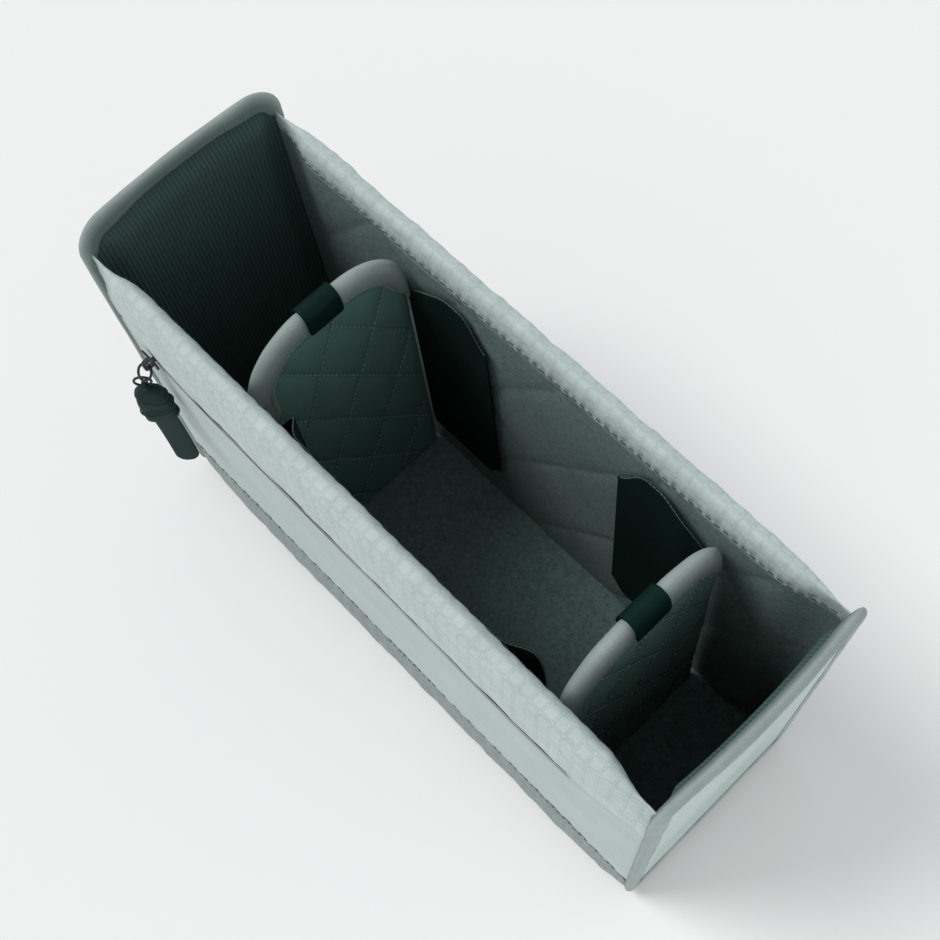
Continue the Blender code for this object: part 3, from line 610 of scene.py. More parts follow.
def outer_y(side, x, z):
    """Distance from the mid plane to a wall's outer face, with its bulge."""
    rise = min(max((z - BAND_TOP) / (BULGE_TOP - BAND_TOP), 0), 1)
    along = min(abs(x / RUN), 1)
    return HALF_WALL + BULGES[side] * math.sin(math.pi * rise) * (1 - along ** 8)


def pinched(x):
    """1 where a wall is sewn into an end panel, 0 along its free run."""
    return 1 - smooth((RUN - abs(x)) / sizes().pinch_run)


def inner_y(x):
    return INNER_Y + sizes().pinch * pinched(x)


def soft_wave(place, scale, seed):
    return noise.noise(Vector((place.x * scale, place.y * scale, place.z * scale + seed)))


def creases(place, scale, seed):
    """Thin ridges such as folded cloth keeps."""
    ridge = 1 - abs(noise.noise(Vector((place.x * scale + seed, place.y * scale, place.z * scale))))
    return ridge ** 6


def beside_seam(distance, reach=0.006):
    return math.exp(-abs(distance) / reach)


def pucker_wave(x, seed):
    pitch = sizes().pucker_pitch
    shift = noise.noise(Vector((x * 60, seed, 0))) * 2.2
    return math.sin(2 * math.pi * x / pitch + shift)


def walk(points, share):
    """Point at a share of a line's length, and the length walked."""
    lengths = [0]
    for first, second in zip(points, points[1:]):
        lengths.append(lengths[-1] + math.dist(first, second))
    aim = lengths[-1] * share
    for index in range(1, len(points)):
        if lengths[index] >= aim or index == len(points) - 1:
            step = lengths[index] - lengths[index - 1]
            part = (aim - lengths[index - 1]) / step if step else 0
            first, second = points[index - 1], points[index]
            return tuple(a + (b - a) * part for a, b in zip(first, second)), aim


def rim_y(side, x, z):
    """Distance to a rim cover's outer face, which is drawn in above the zip where it meets an end."""
    drawn = 0.0018 * smooth((z - 0.158) / 0.016) + 0.0008 * smooth((z - LINING_TOP) / 0.006)
    return outer_y(side, x, z) - drawn * pinched(x) ** 1.5


def wall_piece(name, side, columns, rows, section, reach=1.0):
    """Cloth along a long wall; section(x) gives its line as (distance, height) pairs."""
    @lru_cache(maxsize=None)
    def line(share):
        return section(span_x(share, HALF_WALL, RIM))

    def place(across, up):
        share = round((2 * across - 1) * reach, 6)
        (distance, z), along = walk(line(share), up)
        point = Vector((span_x(share, distance, z), side * distance, z))
        return point, (share * RUN, along)

    return cloth_grid(name, columns, rows, place)


def lip_gap(x):
    """Half the open height between the two lips of the zip."""
    inside = min(x - ZIP_START, ZIP_END - x)
    return ZIP_CLOSED_GAP + ZIP_LIP_GAP * smooth(inside / 0.003)


def rim_section(side, low):
    """Line of a rim cover: up the outer face, over the padded roll and down to its inner stitch."""
    def section(x):
        near = inner_y(x)
        foot = low(x)
        radius = 0.004
        for _ in range(3):
            radius = max((rim_y(side, x, RIM - radius) - near) / 2, 0.0004)
        top = RIM - 0.0022 * pinched(x) - radius
        outside = near + 2 * radius
        points = []
        for step in range(13):
            z = foot + (top - foot) * step / 12
            points.append((max(rim_y(side, x, z), near + 0.0004), z))
        for step in range(1, 9):
            angle = math.pi * step / 16
            points.append((outside - radius + radius * math.cos(angle), top + radius * math.sin(angle)))
        end = LINING_TOP + 0.0004
        crest, slope = top + radius, min(radius + 0.0056, top + radius - end - 0.0006)
        for step in range(1, 13):
            angle = math.pi / 2 + math.pi * step / 24
            points.append((near + radius * (1 + math.cos(angle)), crest - slope * (1 - math.sin(angle))))
        return points + [(near, (crest - slope + end) / 2), (near, end)]

    return section


def make_rim(side, name, low, *nodes):
    piece = wall_piece(name, side, 380, 60, rim_section(side, low))
    turn_out(piece, lambda place: Vector((0, 0, 1)))
    crumple = sizes().crumple
    pucker = sizes().pucker

    def rise(place):
        loose = 1 - 0.7 * pinched(place.x)
        wide = soft_wave(place, 55, 3.1) + 0.7 * soft_wave(place, 120, 8.4) + 0.35 * soft_wave(place, 260, 2.7)
        fold = creases(place, 90, 5.0) - 0.35
        near = place.y * side < INNER_Y + 0.0035
        inside = near and place.z < RIM - 0.003
        across = noise.noise(Vector((place.x * 170, (place.z - place.y * side) * 45, 6.6)))
        height = crumple * loose * (0.65 * wide + 0.35 * fold + 0.45 * across)
        height *= 1 - 0.85 * beside_seam(place.z - ZIP_HEIGHT, 0.005)
        if near and not inside:
            height += 0.00010 * math.sin(2 * math.pi * place.x / 0.0019)
        if inside:
            drawn = beside_seam(place.z - RIM_STITCH, 0.0018)
            height = height * 0.4 - 0.0006 * drawn * (1.2 + 0.6 * math.sin(2 * math.pi * place.x / 0.0040))
            height += pucker * 0.8 * pucker_wave(place.x, 2) * beside_seam(place.z - RIM_STITCH, 0.004)
            height = min(height, 0.0002)
        return height

    ruffle(piece, rise)
    thicken(piece, 0.0005)
    sew_in(piece, ripstop(), "case", "outer_cloth", *nodes)


def flat_section(side, low, high):
    """Line of a panel on a wall's outer face."""
    def section(x):
        heights = [low + (high(x) - low) * step / 24 for step in range(25)]
        return [(outer_y(side, x, z), z) for z in heights]

    return section


def make_wall_panel(side, name, high, cloth, slot, node, lip=lambda x: 0):
    """A panel below a rim cover; lip(x) gives how far its upper edge stands out."""
    piece = wall_piece(name, side, 260, 96, flat_section(side, BAND_TOP + 0.0002, high))
    turn_out(piece, lambda place: Vector((0, side, 0)))
    crumple = sizes().crumple
    pucker = sizes().pucker

    def rise(place):
        loose = 1 - 0.7 * pinched(place.x)
        wide = soft_wave(place, 26, 12.5) + 0.4 * soft_wave(place, 60, 2.2)
        height = crumple * 0.7 * loose * wide * (1 - 0.85 * beside_seam(place.z - ZIP_HEIGHT, 0.006))
        height += pucker * pucker_wave(place.x, 4) * beside_seam(place.z - BAND_TOP, 0.005)
        height -= 0.0005 * beside_seam(place.z - BAND_TOP, 0.0014)
        under = high(place.x) - place.z
        height -= PANEL_GROOVE * math.exp(-((under - PANEL_GROOVE_UNDER) / 0.0007) ** 2)
        return height + lip(place.x) * math.exp(-(under / 0.0030) ** 2)

    ruffle(piece, rise)
    thicken(piece, 0.0004)
    sew_in(piece, cloth, "case", slot, node)


def make_base_wrap():
    """One cloth from the front band, under the base, to the back band."""
    swell = ((0, BAND_TOP), (0.0007, 0.0215), (0.0013, 0.018), (0.0019, 0.013), (0.0023, 0.008), (0.0024, 0.005),
             (0.0022, 0.0030), (0.0016, 0.0015), (0.0008, 0.0006), (-0.0003, 0.0001), (-0.0016, 0))

    def rounded(z):
        """How far in the bound corner of an end lies at a height."""
        return END_BOTTOM_RADIUS - math.sqrt(max(END_BOTTOM_RADIUS ** 2 - max(END_BOTTOM_RADIUS - z, 0) ** 2, 0))

    def place(across, up):
        share = 2 * across - 1
        full = 1 - abs(share) ** 8
        outline = [(HALF_WALL + (out * full if out > 0 else out) - rounded(z) * abs(share) ** 24, z)
                   for out, z in swell]
        (y, z), along = walk(outline + [(-distance, z) for distance, z in reversed(outline)], up)
        return Vector((span_x(share, y, z), -y, z)), (share * RUN, along)

    piece = cloth_grid("base_wrap", 240, 100, place)
    turn_out(piece, lambda place: Vector((0, place.y * 20, place.z - 0.03)))
    pucker = sizes().pucker

    def rise(place):
        if place.z < 0.0004:
            return 0
        height = pucker * 1.3 * pucker_wave(place.x, 6) * beside_seam(place.z - BAND_TOP, 0.007)
        height -= 0.0007 * beside_seam(place.z - BAND_TOP, 0.0012)
        waves = 0.0005 * soft_wave(place, 70, 1.5) + 0.0004 * soft_wave(place, 170, 3.5)
        return (height + waves) * smooth(place.z / 0.004)

    ruffle(piece, rise)
    thicken(piece, 0.0008)
    sew_in(piece, band_cloth(), "case", "outer_cloth", "base_cover", "front_base_band", "back_base_band")


def quilt_height(first, second, puff, reach=0.0030):
    """Height of quilting from the distances to the nearest seam of each of its two families."""
    return puff * (1 - math.exp(-abs(first) / reach)) * (1 - math.exp(-abs(second) / reach))


def nearest(value, pitch):
    """Distance to the nearest multiple of a pitch."""
    return (value + pitch / 2) % pitch - pitch / 2


def wall_quilt(x, z):
    """Distances to the lozenge seams of the wall lining."""
    return nearest(x + z * 0.75, 0.052) * 0.8, nearest(x - z * 0.75 + 0.01, 0.052) * 0.8


def make_wall_lining(side, name, node):
    def section(x):
        near = inner_y(x)
        return [(near, FLOOR - 0.0026), (near, (FLOOR + LINING_TOP) / 2), (near, LINING_TOP)]

    piece = wall_piece(name, side, 230, 130, section)
    turn_out(piece, lambda place: Vector((0, -side, 0)))
    puff = sizes().quilt_puff

    def rise(place):
        loose = 1 - pinched(place.x)
        first, second = wall_quilt(place.x, place.z)
        return (quilt_height(first, second, puff * 0.75) - 0.0009) * loose + 0.0001 * soft_wave(place, 90, 4)

    ruffle(piece, rise)
    thicken(piece, 0.0008)
    sew_in(piece, wall_lining(), "case", "quilt_lining", node)


def make_wall_core(side, name, node):
    """Foam that fills a wall between its cloths."""
    def section(x):
        near = inner_y(x) + 0.0021
        far = [(outer_y(side, x, z) - CORE_BEHIND[side], z) for z in (WALL_FOOT, 0.05, 0.09, 0.12, 0.136)]
        high = 0.181 - 0.002 * pinched(x)
        far += [(max(rim_y(side, x, z) - 0.0034, near + 0.0002), z) for z in (0.164, high)]
        far = [(max(distance, near + 0.0002), z) for distance, z in far]
        return far + [(near, high), (near, WALL_FOOT), far[0]]

    piece = wall_piece(name, side, 60, 40, section, reach=0.90)
    weld(piece)
    sew_in(piece, foam_core(), "case", "foam", node)


def make_floor_lining():
    def place(across, up):
        share = 2 * across - 1
        y = (2 * up - 1) * (inner_y(share * RUN) + 0.0010)
        return Vector((span_x(share, y, FLOOR), y, FLOOR)), (share * RUN, y)

    piece = cloth_grid("floor_lining", 200, 60, place)
    turn_out(piece, lambda place: Vector((0, 0, 1)))
    puff = sizes().quilt_puff

    def rise(place):
        first, second = wall_quilt(place.x, place.y + 0.02)
        return -0.0008 + quilt_height(first, second, puff * 0.7)

    ruffle(piece, rise)
    thicken(piece, 0.0008)
    sew_in(piece, wall_lining(), "case", "quilt_lining", "base_lining")


# Ends

def rounded_half(z, half, foot, top, low, high):
    """Half width of a panel with rounded corners at a height."""
    if z > top - high:
        return half - high + math.sqrt(max(high ** 2 - (z - top + high) ** 2, 0))
    if z < foot + low:
        return half - low + math.sqrt(max(low ** 2 - (foot + low - z) ** 2, 0))
    return half


def end_face(name, sign, depth, outward, cloth, slot, puff, reach, node):
    """A panel inside the bound edge, at a depth behind the outside of the end."""
    inset = 0.0040
    half = WIDTH / 2 - inset
    foot = END_FOOT + inset
    top = HEIGHT - inset

    def place(across, up):
        z = foot + (top - foot) * up
        width = rounded_half(z, half, foot, top, END_BOTTOM_RADIUS - 0.003, END_TOP_RADIUS - inset)
        y = (2 * across - 1) * width
        return Vector((sign * (end_plane(y, z) - depth), y, z)), (y, z)

    piece = cloth_grid(name, 90, 170, place)
    turn_out(piece, lambda place: Vector((outward, 0, 0)))

    def rise(place):
        edge = min(half - abs(place.y), top - place.z, place.z - foot)
        aside, above = abs(place.y) - WIDTH / 2 + END_TOP_RADIUS, place.z - HEIGHT + END_TOP_RADIUS
        if aside > 0 and above > 0:
            edge = END_TOP_RADIUS - inset - math.hypot(aside, above)
        return puff * smooth((edge - 0.003) / reach) + 0.0005 * soft_wave(place, 30, 6.0) * smooth(edge / 0.02)

    ruffle(piece, rise)
    thicken(piece, 0.0006)
    sew_in(piece, cloth, "case", slot, node)


@lru_cache(maxsize=None)
def end_edge():
    """Points and inward directions round an end's bound edge."""
    half = WIDTH / 2
    points = []
    corners = (
        (half - END_BOTTOM_RADIUS, END_FOOT + END_BOTTOM_RADIUS, END_BOTTOM_RADIUS, -90),
        (half - END_TOP_RADIUS, HEIGHT - END_TOP_RADIUS, END_TOP_RADIUS, 0),
        (END_TOP_RADIUS - half, HEIGHT - END_TOP_RADIUS, END_TOP_RADIUS, 90),
        (END_BOTTOM_RADIUS - half, END_FOOT + END_BOTTOM_RADIUS, END_BOTTOM_RADIUS, 180),
    )
    for y, z, radius, start in corners:
        for step in range(17):
            angle = math.radians(start + 90 * step / 16)
            out = (math.cos(angle), math.sin(angle))
            points.append((y + radius * out[0], z + radius * out[1], -out[0], -out[1]))
    return points + [points[0]]


# Folded tape round an end: (distance in from the edge, depth from the outer face)
END_FOLD = ((0.0070, 0.0006), (0.0054, 0.0003), (0.0036, 0.0001), (0.0022, 0.0001), (0.0012, 0.0004),
            (0.0005, 0.0010), (0.0001, 0.0017), (0.0001, 0.0024), (0.0005, 0.0031), (0.0013, 0.0037),
            (0.0024, 0.0042), (0.0036, 0.0046), (0.0046, 0.0049), (0.0054, 0.0051))

# Quilting of a divider: (slope, height at the middle, spacing) of its two families of seams
QUILT_SEAMS = ((-1.38, 0.1727, 0.0407), (2.20, 0.1044, 0.0612))

# Folded tape over a divider: (distance in from the edge, distance from the middle)
ARCH_FOLD = ((0.0098, 0.0040), (0.0080, 0.0040), (0.0060, 0.0038), (0.0042, 0.0035), (0.0026, 0.0030),
             (0.0014, 0.0023), (0.0006, 0.0015), (0.0002, 0.0008), (0, 0))


def arch_half(inset):
    """Half the thickness of a divider's bound edge at a distance in from it."""
    for (far, thick), (near, thin) in zip(ARCH_FOLD, ARCH_FOLD[1:]):
        if inset >= near:
            return thin + (thick - thin) * min((inset - near) / (far - near), 1)
    return 0


def edge_at(points, share):
    """Point and inward direction at a share of a bound edge's length."""
    flat = [(y, z) for y, z, _, _ in points]
    (y, z), along = walk(flat, share)
    best = min(range(len(points)), key=lambda index: math.dist(flat[index], (y, z)))
    other = best
    for index in (best - 1, best + 1):
        if 0 <= index < len(points):
            gap = math.dist(flat[index], (y, z)) + math.dist(flat[best], (y, z))
            if abs(gap - math.dist(flat[index], flat[best])) < 1e-6:
                other = index
    span = math.dist(flat[best], flat[other])
    part = math.dist(flat[best], (y, z)) / span if span else 0
    inward = Vector((points[best][2], points[best][3])).lerp(Vector((points[other][2], points[other][3])), part)
    return y, z, inward.normalized(), along


def make_end_binding(sign, name, node):
    @lru_cache(maxsize=None)
    def edge(share):
        return edge_at(end_edge(), share)

    def place(across, up):
        y, z, inward, along = edge(round(across, 6))
        (inset, depth), length = walk(END_FOLD, up)
        if depth > 0.0028:
            inset *= 0.60 + smooth((z - 0.180) / 0.010) * (0.40 + 0.35 * smooth((abs(y) - 0.016) / 0.020))
        y += inward.x * inset
        z += inward.y * inset
        return Vector((sign * (end_plane(y, z) - depth), y, z)), (along, length)

    piece = cloth_grid(name, 560, 36, place)

    def outward(place):
        core = sign * (end_plane(place.y, place.z) - 0.0031)
        return Vector((place.x - core, place.y * 0.06, (place.z - 0.1) * 0.03))

    turn_out(piece, outward)

    ruffle(piece, lambda place: 0.00025 * soft_wave(place, 70, 9.0))
    thicken(piece, 0.0007)
    weld(piece)
    # The last colour is painted shade on the tape's legs, off the fold's middle
    sew_in(piece, binding_tape("end_binding_tape", 0, 0.0090, 0.0122, (0.38, 0.46, 0.44)), "case",
           "binding_tape", node)


# Stitches

def sew_rows(name, paths, outward, material, body, slot, pitch=None, length=None, width=None):
    """Rows of stitches along paths of points that lie on the cloth, in one piece."""
    pitch = pitch or sizes().stitch_pitch
    length = length or sizes().stitch_length
    radius = (width or sizes().thread) / 2
    deselect()
    bpy.ops.mesh.primitive_cylinder_add(vertices=6, radius=radius, depth=length, end_fill_type="NGON")
    pattern = bpy.context.active_object
    bpy.ops.object.mode_set(mode="EDIT")
    bpy.ops.mesh.select_all(action="SELECT")
    bpy.ops.mesh.bevel(offset=radius * 0.8, segments=1, affect="EDGES")
    bpy.ops.object.mode_set(mode="OBJECT")
    shape = bmesh.new()
    source = pattern.data
    for path in paths:
        total = sum(math.dist(a, b) for a, b in zip(path, path[1:]))
        count = max(int(total / pitch), 1)
        for index in range(count):
            share = (index + 0.5) / count
            start, _ = walk(path, max(share - length / total / 2, 0))
            stop, _ = walk(path, min(share + length / total / 2, 1))
            start, stop = Vector(start), Vector(stop)
            along = (stop - start).normalized()
            middle = (start + stop) / 2
            up = outward(middle).normalized()
            side = up.cross(along).normalized()
            up = along.cross(side)
            turn = Matrix((side, up, along)).transposed().to_4x4()
            before = len(shape.verts)
            shape.from_mesh(source)
            shape.verts.ensure_lookup_table()
            for vert in shape.verts[before:]:
                bow = (1 - (2 * vert.co.z / length) ** 2) * radius * 0.7
                vert.co = Matrix.Translation(middle + up * (bow - radius * 0.1)) @ turn @ vert.co
    bpy.data.objects.remove(pattern, do_unlink=True)
    mesh = bpy.data.meshes.new(name)
    shape.to_mesh(mesh)
    shape.free()
    piece = bpy.data.objects.new(name, mesh)
    bpy.context.scene.collection.objects.link(piece)
    return sew_in(piece, material, body, slot)


def wall_path(side, z, lift, inside=False):
    """Points along a wall at a height, lifted off its outer or its inner face."""
    points = []
    for step in range(91):
        share = 2 * step / 90 - 1
        x = span_x(share, HALF_WALL, z)
        distance = inner_y(x) - lift if inside else outer_y(side, x, z) + lift
        points.append((span_x(share, distance, z), side * distance, z))
    return points


# Zip and puller

def make_zip():
    for name, direction in (("upper_zip_tape", 1), ("lower_zip_tape", -1)):
        near = ZIP_HEIGHT + direction * 0.0009
        far = ZIP_HEIGHT + direction * 0.0104

        def place(across, up):
            x = ZIP_START + (ZIP_END - ZIP_START) * across
            z = near + (far - near) * up
            return Vector((x, ZIP_TAPE_BEHIND - outer_y(-1, x, z), z)), (x, z)

        piece = cloth_grid("woven_" + name, 160, 8, place)
        turn_out(piece, lambda place: Vector((0, -1, 0)))
        thicken(piece, 0.0004)
        sew_in(piece, black_web(), "case", "zip_black", name)


def puller_frame():
    """Turned frame of the puller: across, through, and the point its ring hangs from."""
    across = Vector((math.cos(PULLER_TURN), math.sin(PULLER_TURN), 0))
    through = Vector((-math.sin(PULLER_TURN), math.cos(PULLER_TURN), 0))
    low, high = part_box("puller_wrap")
    return across, through, (low + high) / 2, low.z, high.z


def soft_bar(name, columns, rows, centre, across, through, profile):
    """A closed bar hanging down; profile(up) gives height, half width, half depth and shift."""
    def place(around, up):
        z, wide, deep, shift = profile(up)
        angle = 2 * math.pi * around
        cos, sin = math.cos(angle), math.sin(angle)
        a = math.copysign(abs(cos) ** 0.55, cos) * wide
        b = math.copysign(abs(sin) ** 0.75, sin) * deep + shift
        point = Vector((centre.x, centre.y, z)) + across * a + through * b
        return point, (a if abs(sin) > 0.5 else wide, z)

    piece = cloth_grid(name, columns, rows, place)
    weld(piece)
    return piece


def make_puller():
    across, through, centre, foot, top = puller_frame()
    full = foot + 0.0236
    foot -= 0.0020

    def wrap(up):
        z = foot + (full - foot) * (1 - up)
        round_off = math.sqrt(max(1 - (1 - min(up / 0.16, (1 - up) / 0.05, 1)) ** 2, 0))
        flare = 0.74 + 0.26 * smooth(up / 0.5)
        return z, 0.0069 * flare * round_off, 0.0040 * flare * round_off, 0

    body = soft_bar("folded_puller_wrap", 64, 90, centre, across, through, wrap)

    def crease(place):
        aside = (place - centre).dot(across)
        nub = (Vector((centre.x, centre.y, foot + 0.0028)) + across * 0.0058 - place).length
        height = 0
        for level, slant, depth in ((foot + 0.0078, 0.24, 0.0011), (full - 0.0078, -0.34, 0.0007)):
            gap = place.z - level - slant * aside
            height -= depth * math.exp(-(gap / 0.0007) ** 2)
            height += depth * 0.7 * math.exp(-((gap - 0.0016) / 0.0014) ** 2)
        return height + 0.0016 * math.exp(-(nub / 0.0018) ** 2)

    ruffle(body, crease)

    def neck(up):
        z = full - 0.0012 + (top - full + 0.0008) * up
        end = min(up, 1 - up)
        round_off = math.sqrt(max(1 - (1 - min(end / 0.18, 1)) ** 2, 0))
        return z, 0.0013 * round_off, 0.0022 * round_off, 0

    loop = soft_bar("puller_neck", 20, 20, centre, across, through, neck)
    sew_in(body, puller_rubber(), "puller", "black_web", "puller_wrap")
    sew_in(loop, puller_rubber(), "puller", "black_web")
    low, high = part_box("puller_strap")
    half = 0.0052
    tip = low.z - 0.0050

    def strap(up):
        z = high.z - (high.z - tip) * up
        near_tip = z - tip
        wide = half if near_tip > half else math.sqrt(max(half ** 2 - (half - near_tip) ** 2, 0))
        edge = min(near_tip / 0.0011, (high.z - z) / 0.0008, 1)
        deep = 0.00105 * math.sqrt(max(1 - (1 - edge) ** 2, 0))
        return z, wide, deep, 0.0006 * math.sin(up * math.pi)

    tail = soft_bar("puller_tail", 48, 90, centre, across, through, strap)
    sew_in(tail, puller_rubber(), "puller", "black_web", "puller_strap")


# Dividers

def divider_quilt(y, z):
    """Distances to the two families of lozenge seams of a divider."""
    return [nearest(z - slope * y - start, pitch) / math.hypot(1, slope) for slope, start, pitch in QUILT_SEAMS]


def pad_half(side, z):
    """Half width of a divider's pad towards one wall at a height."""
    return rounded_half(z, PAD_HALF, PAD_FOOT, PAD_TOP, PAD_FOOT_RADIUS, PAD_TOP_RADII[side])


def make_divider_pad(name, x):
    half = PAD_HALF_THICKNESS
    puff = sizes().quilt_puff

    def place(around, up):
        z = PAD_FOOT + (PAD_TOP - PAD_FOOT) * up
        turn = (around * 2) % 2
        facing = 1 if turn < 1 else -1
        along = (turn % 1) * 2 - 1
        side = 1 if facing * along > 0 else -1
        width = pad_half(side, z)
        radius = PAD_TOP_RADII[side]
        y = facing * along * width
        corner = math.hypot(max(abs(y) - PAD_HALF + radius, 0), max(z - PAD_TOP + radius, 0))
        edge = min(radius - corner, width - abs(y) + (0 if z > PAD_TAPE_ENDS[side] else 0.001), z - PAD_FOOT)
        deep = half * math.sqrt(max(1 - (1 - min(max(edge, 0) / 0.0068, 1)) ** 2, 0))
        return Vector((x + facing * deep, y, z)), (y, z)

    piece = cloth_grid(name + "_quilted_pad", 220, 240, place)
    weld(piece)

    def rise(place):
        first, second = divider_quilt(place.y, place.z)
        under_tape = smooth((PAD_TOP - 0.009 - place.z) / 0.006)
        flat = smooth((PAD_HALF - abs(place.y)) / 0.005) * smooth((place.z - PAD_FOOT) / 0.008)
        height = quilt_height(first, second, puff * 1.3, 0.0028) - 0.0005
        return (height + 0.0001 * soft_wave(place, 110, 3)) * under_tape * flat

    ruffle(piece, rise)
    sew_in(piece, divider_cloth(), name, "divider_cloth", name + "_pad")


@lru_cache(maxsize=None)
def arch_edge():
    """Points and inward directions over a divider's bound arch."""
    half = PAD_HALF + TAPE + GAP
    top = PAD_TOP + TAPE + GAP
    points = [(half, PAD_TAPE_ENDS[1], -1, 0)]
    for side, start in ((1, 0), (-1, 90)):
        radius = PAD_TOP_RADII[side] + TAPE + GAP
        for step in range(19):
            angle = math.radians(start + 90 * step / 18)
            out = (math.cos(angle), math.sin(angle))
            points.append((side * (half - radius) + radius * out[0], top - radius + radius * out[1],
                           -out[0], -out[1]))
    return points + [(-half, PAD_TAPE_ENDS[-1], 1, 0)]


def tape_share(y, z):
    """Share of the tape's width that is left where it runs out down a divider's side."""
    side = 1 if y > 0 else -1
    return 0.30 + 0.70 * smooth((z - PAD_TAPE_ENDS[side]) / 0.018)


def make_divider_binding(name, x):
    fold = [(inset, -half) for inset, half in ARCH_FOLD] + [(inset, half) for inset, half in ARCH_FOLD[-2::-1]]

    @lru_cache(maxsize=None)
    def edge(share):
        return edge_at(arch_edge(), share)

    def place(across, up):
        y, z, inward, along = edge(round(across, 6))
        (inset, aside), length = walk(fold, up)
        inset *= tape_share(y, z)
        return Vector((x + aside, y + inward.x * inset, z + inward.y * inset)), (along, length)

    piece = cloth_grid(name + "_bound_edge", 220, 36, place)
    turn_out(piece, lambda place: Vector((place.x - x, place.y * 0.05, 0.001)))
    ruffle(piece, lambda place: 0.00015 * soft_wave(place, 120, 5.0))
    thicken(piece, 0.0006)
    # The last colour is painted shade on both legs of the tape, off the fold's middle
    sew_in(piece, binding_tape("divider_binding_tape", 0.01145, 0.0035, 0.0095, (0.55, 0.62, 0.60)), name,
           "binding_tape", name + "_binding")
    for direction, side in ((1, "near"), (-1, "far")):
        path = []
        for step in range(81):
            y, z, inward, _ = edge_at(arch_edge(), 0.01 + 0.98 * step / 80)
            inset = 0.0080 * tape_share(y, z)
            path.append((x + direction * (arch_half(0.0080) + 0.0001), y + inward.x * inset, z + inward.y * inset))
        sew_rows(name + "_binding_stitch_" + side, [path], lambda place: Vector((direction, 0, 0)),
                 thread("sage_thread", (0.26, 0.33, 0.31)), name, "binding_tape", pitch=0.0030, length=0.0020)


def make_quilt_stitches(name, x):
    """Rows of stitches along every seam of a divider's quilting, on both faces."""
    for facing, side in ((1, "near"), (-1, "far")):
        rows = []
        for slope, start, pitch in QUILT_SEAMS:
            for index in range(-4, 6):
                height = start - pitch * index
                path = []
                for step in range(161):
                    y = (PAD_HALF - 0.003) * (2 * step / 160 - 1)
                    z = height + slope * y
                    wall = 1 if y > 0 else -1
                    limit = pad_half(wall, z) - 0.0085 + 0.005 * smooth((PAD_TAPE_ENDS[wall] + 0.012 - z) / 0.012)
                    if PAD_FOOT + 0.006 < z < PAD_TOP - 0.010 and abs(y) < limit:
                        path.append((x + facing * (PAD_HALF_THICKNESS - 0.0001), y, z))
                if len(path) > 12:
                    rows.append(path)
        sew_rows(f"{name}_quilt_stitch_{side}", rows, lambda place: Vector((facing, 0, 0)),
                 thread("quilt_thread", (0.30, 0.43, 0.39)), name, "divider_cloth", pitch=0.0030, length=0.0018,
                 width=0.0007)


def make_pull_tab(name, x):
    low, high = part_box(name + "_pull_tab")
    roof = high.z - 0.0003
    leg = roof - low.z - 0.0048
    line = []
    for step in range(25):
        inset = leg * (1 - step / 24) ** 1.6
        line.append((arch_half(inset) + 0.0007 + 0.0004 * smooth(inset / 0.003), roof - inset))
    line[-1] = (0, roof)
    line = [(-aside, z) for aside, z in line[:-1]] + [(0, roof + 0.0001)] + line[-2::-1]
    half = (high.y - low.y) / 2

    def place(across, up):
        (a, z), along = walk(line, up)
        rise = min((z - roof + leg) / 0.0025, 1)
        y = (2 * across - 1) * (half - 0.0012 * (1 - math.sqrt(1 - (1 - rise) ** 2)))
        return Vector((x + a, y, z)), (along, y)

    piece = cloth_grid(name + "_webbing_tab", 24, 80, place)
    turn_out(piece, lambda place: Vector((place.x - x, 0, place.z - (low.z + roof) / 2)))
    ruffle(piece, lambda place: 0.00012 * soft_wave(place, 200, 7))
    thicken(piece, 0.0008)
    sew_in(piece, tab_web(), name, "black_web", name + "_pull_tab")


def wing_top(share, low, high, drop):
    """Height of a wing's upper edge at a share of its length: it rises from the pad and rounds down."""
    rising = high - drop * (1 - min(share / 0.52, 1)) ** 1.7
    return rising - 0.017 * smooth((share - 0.66) / 0.34) ** 1.4


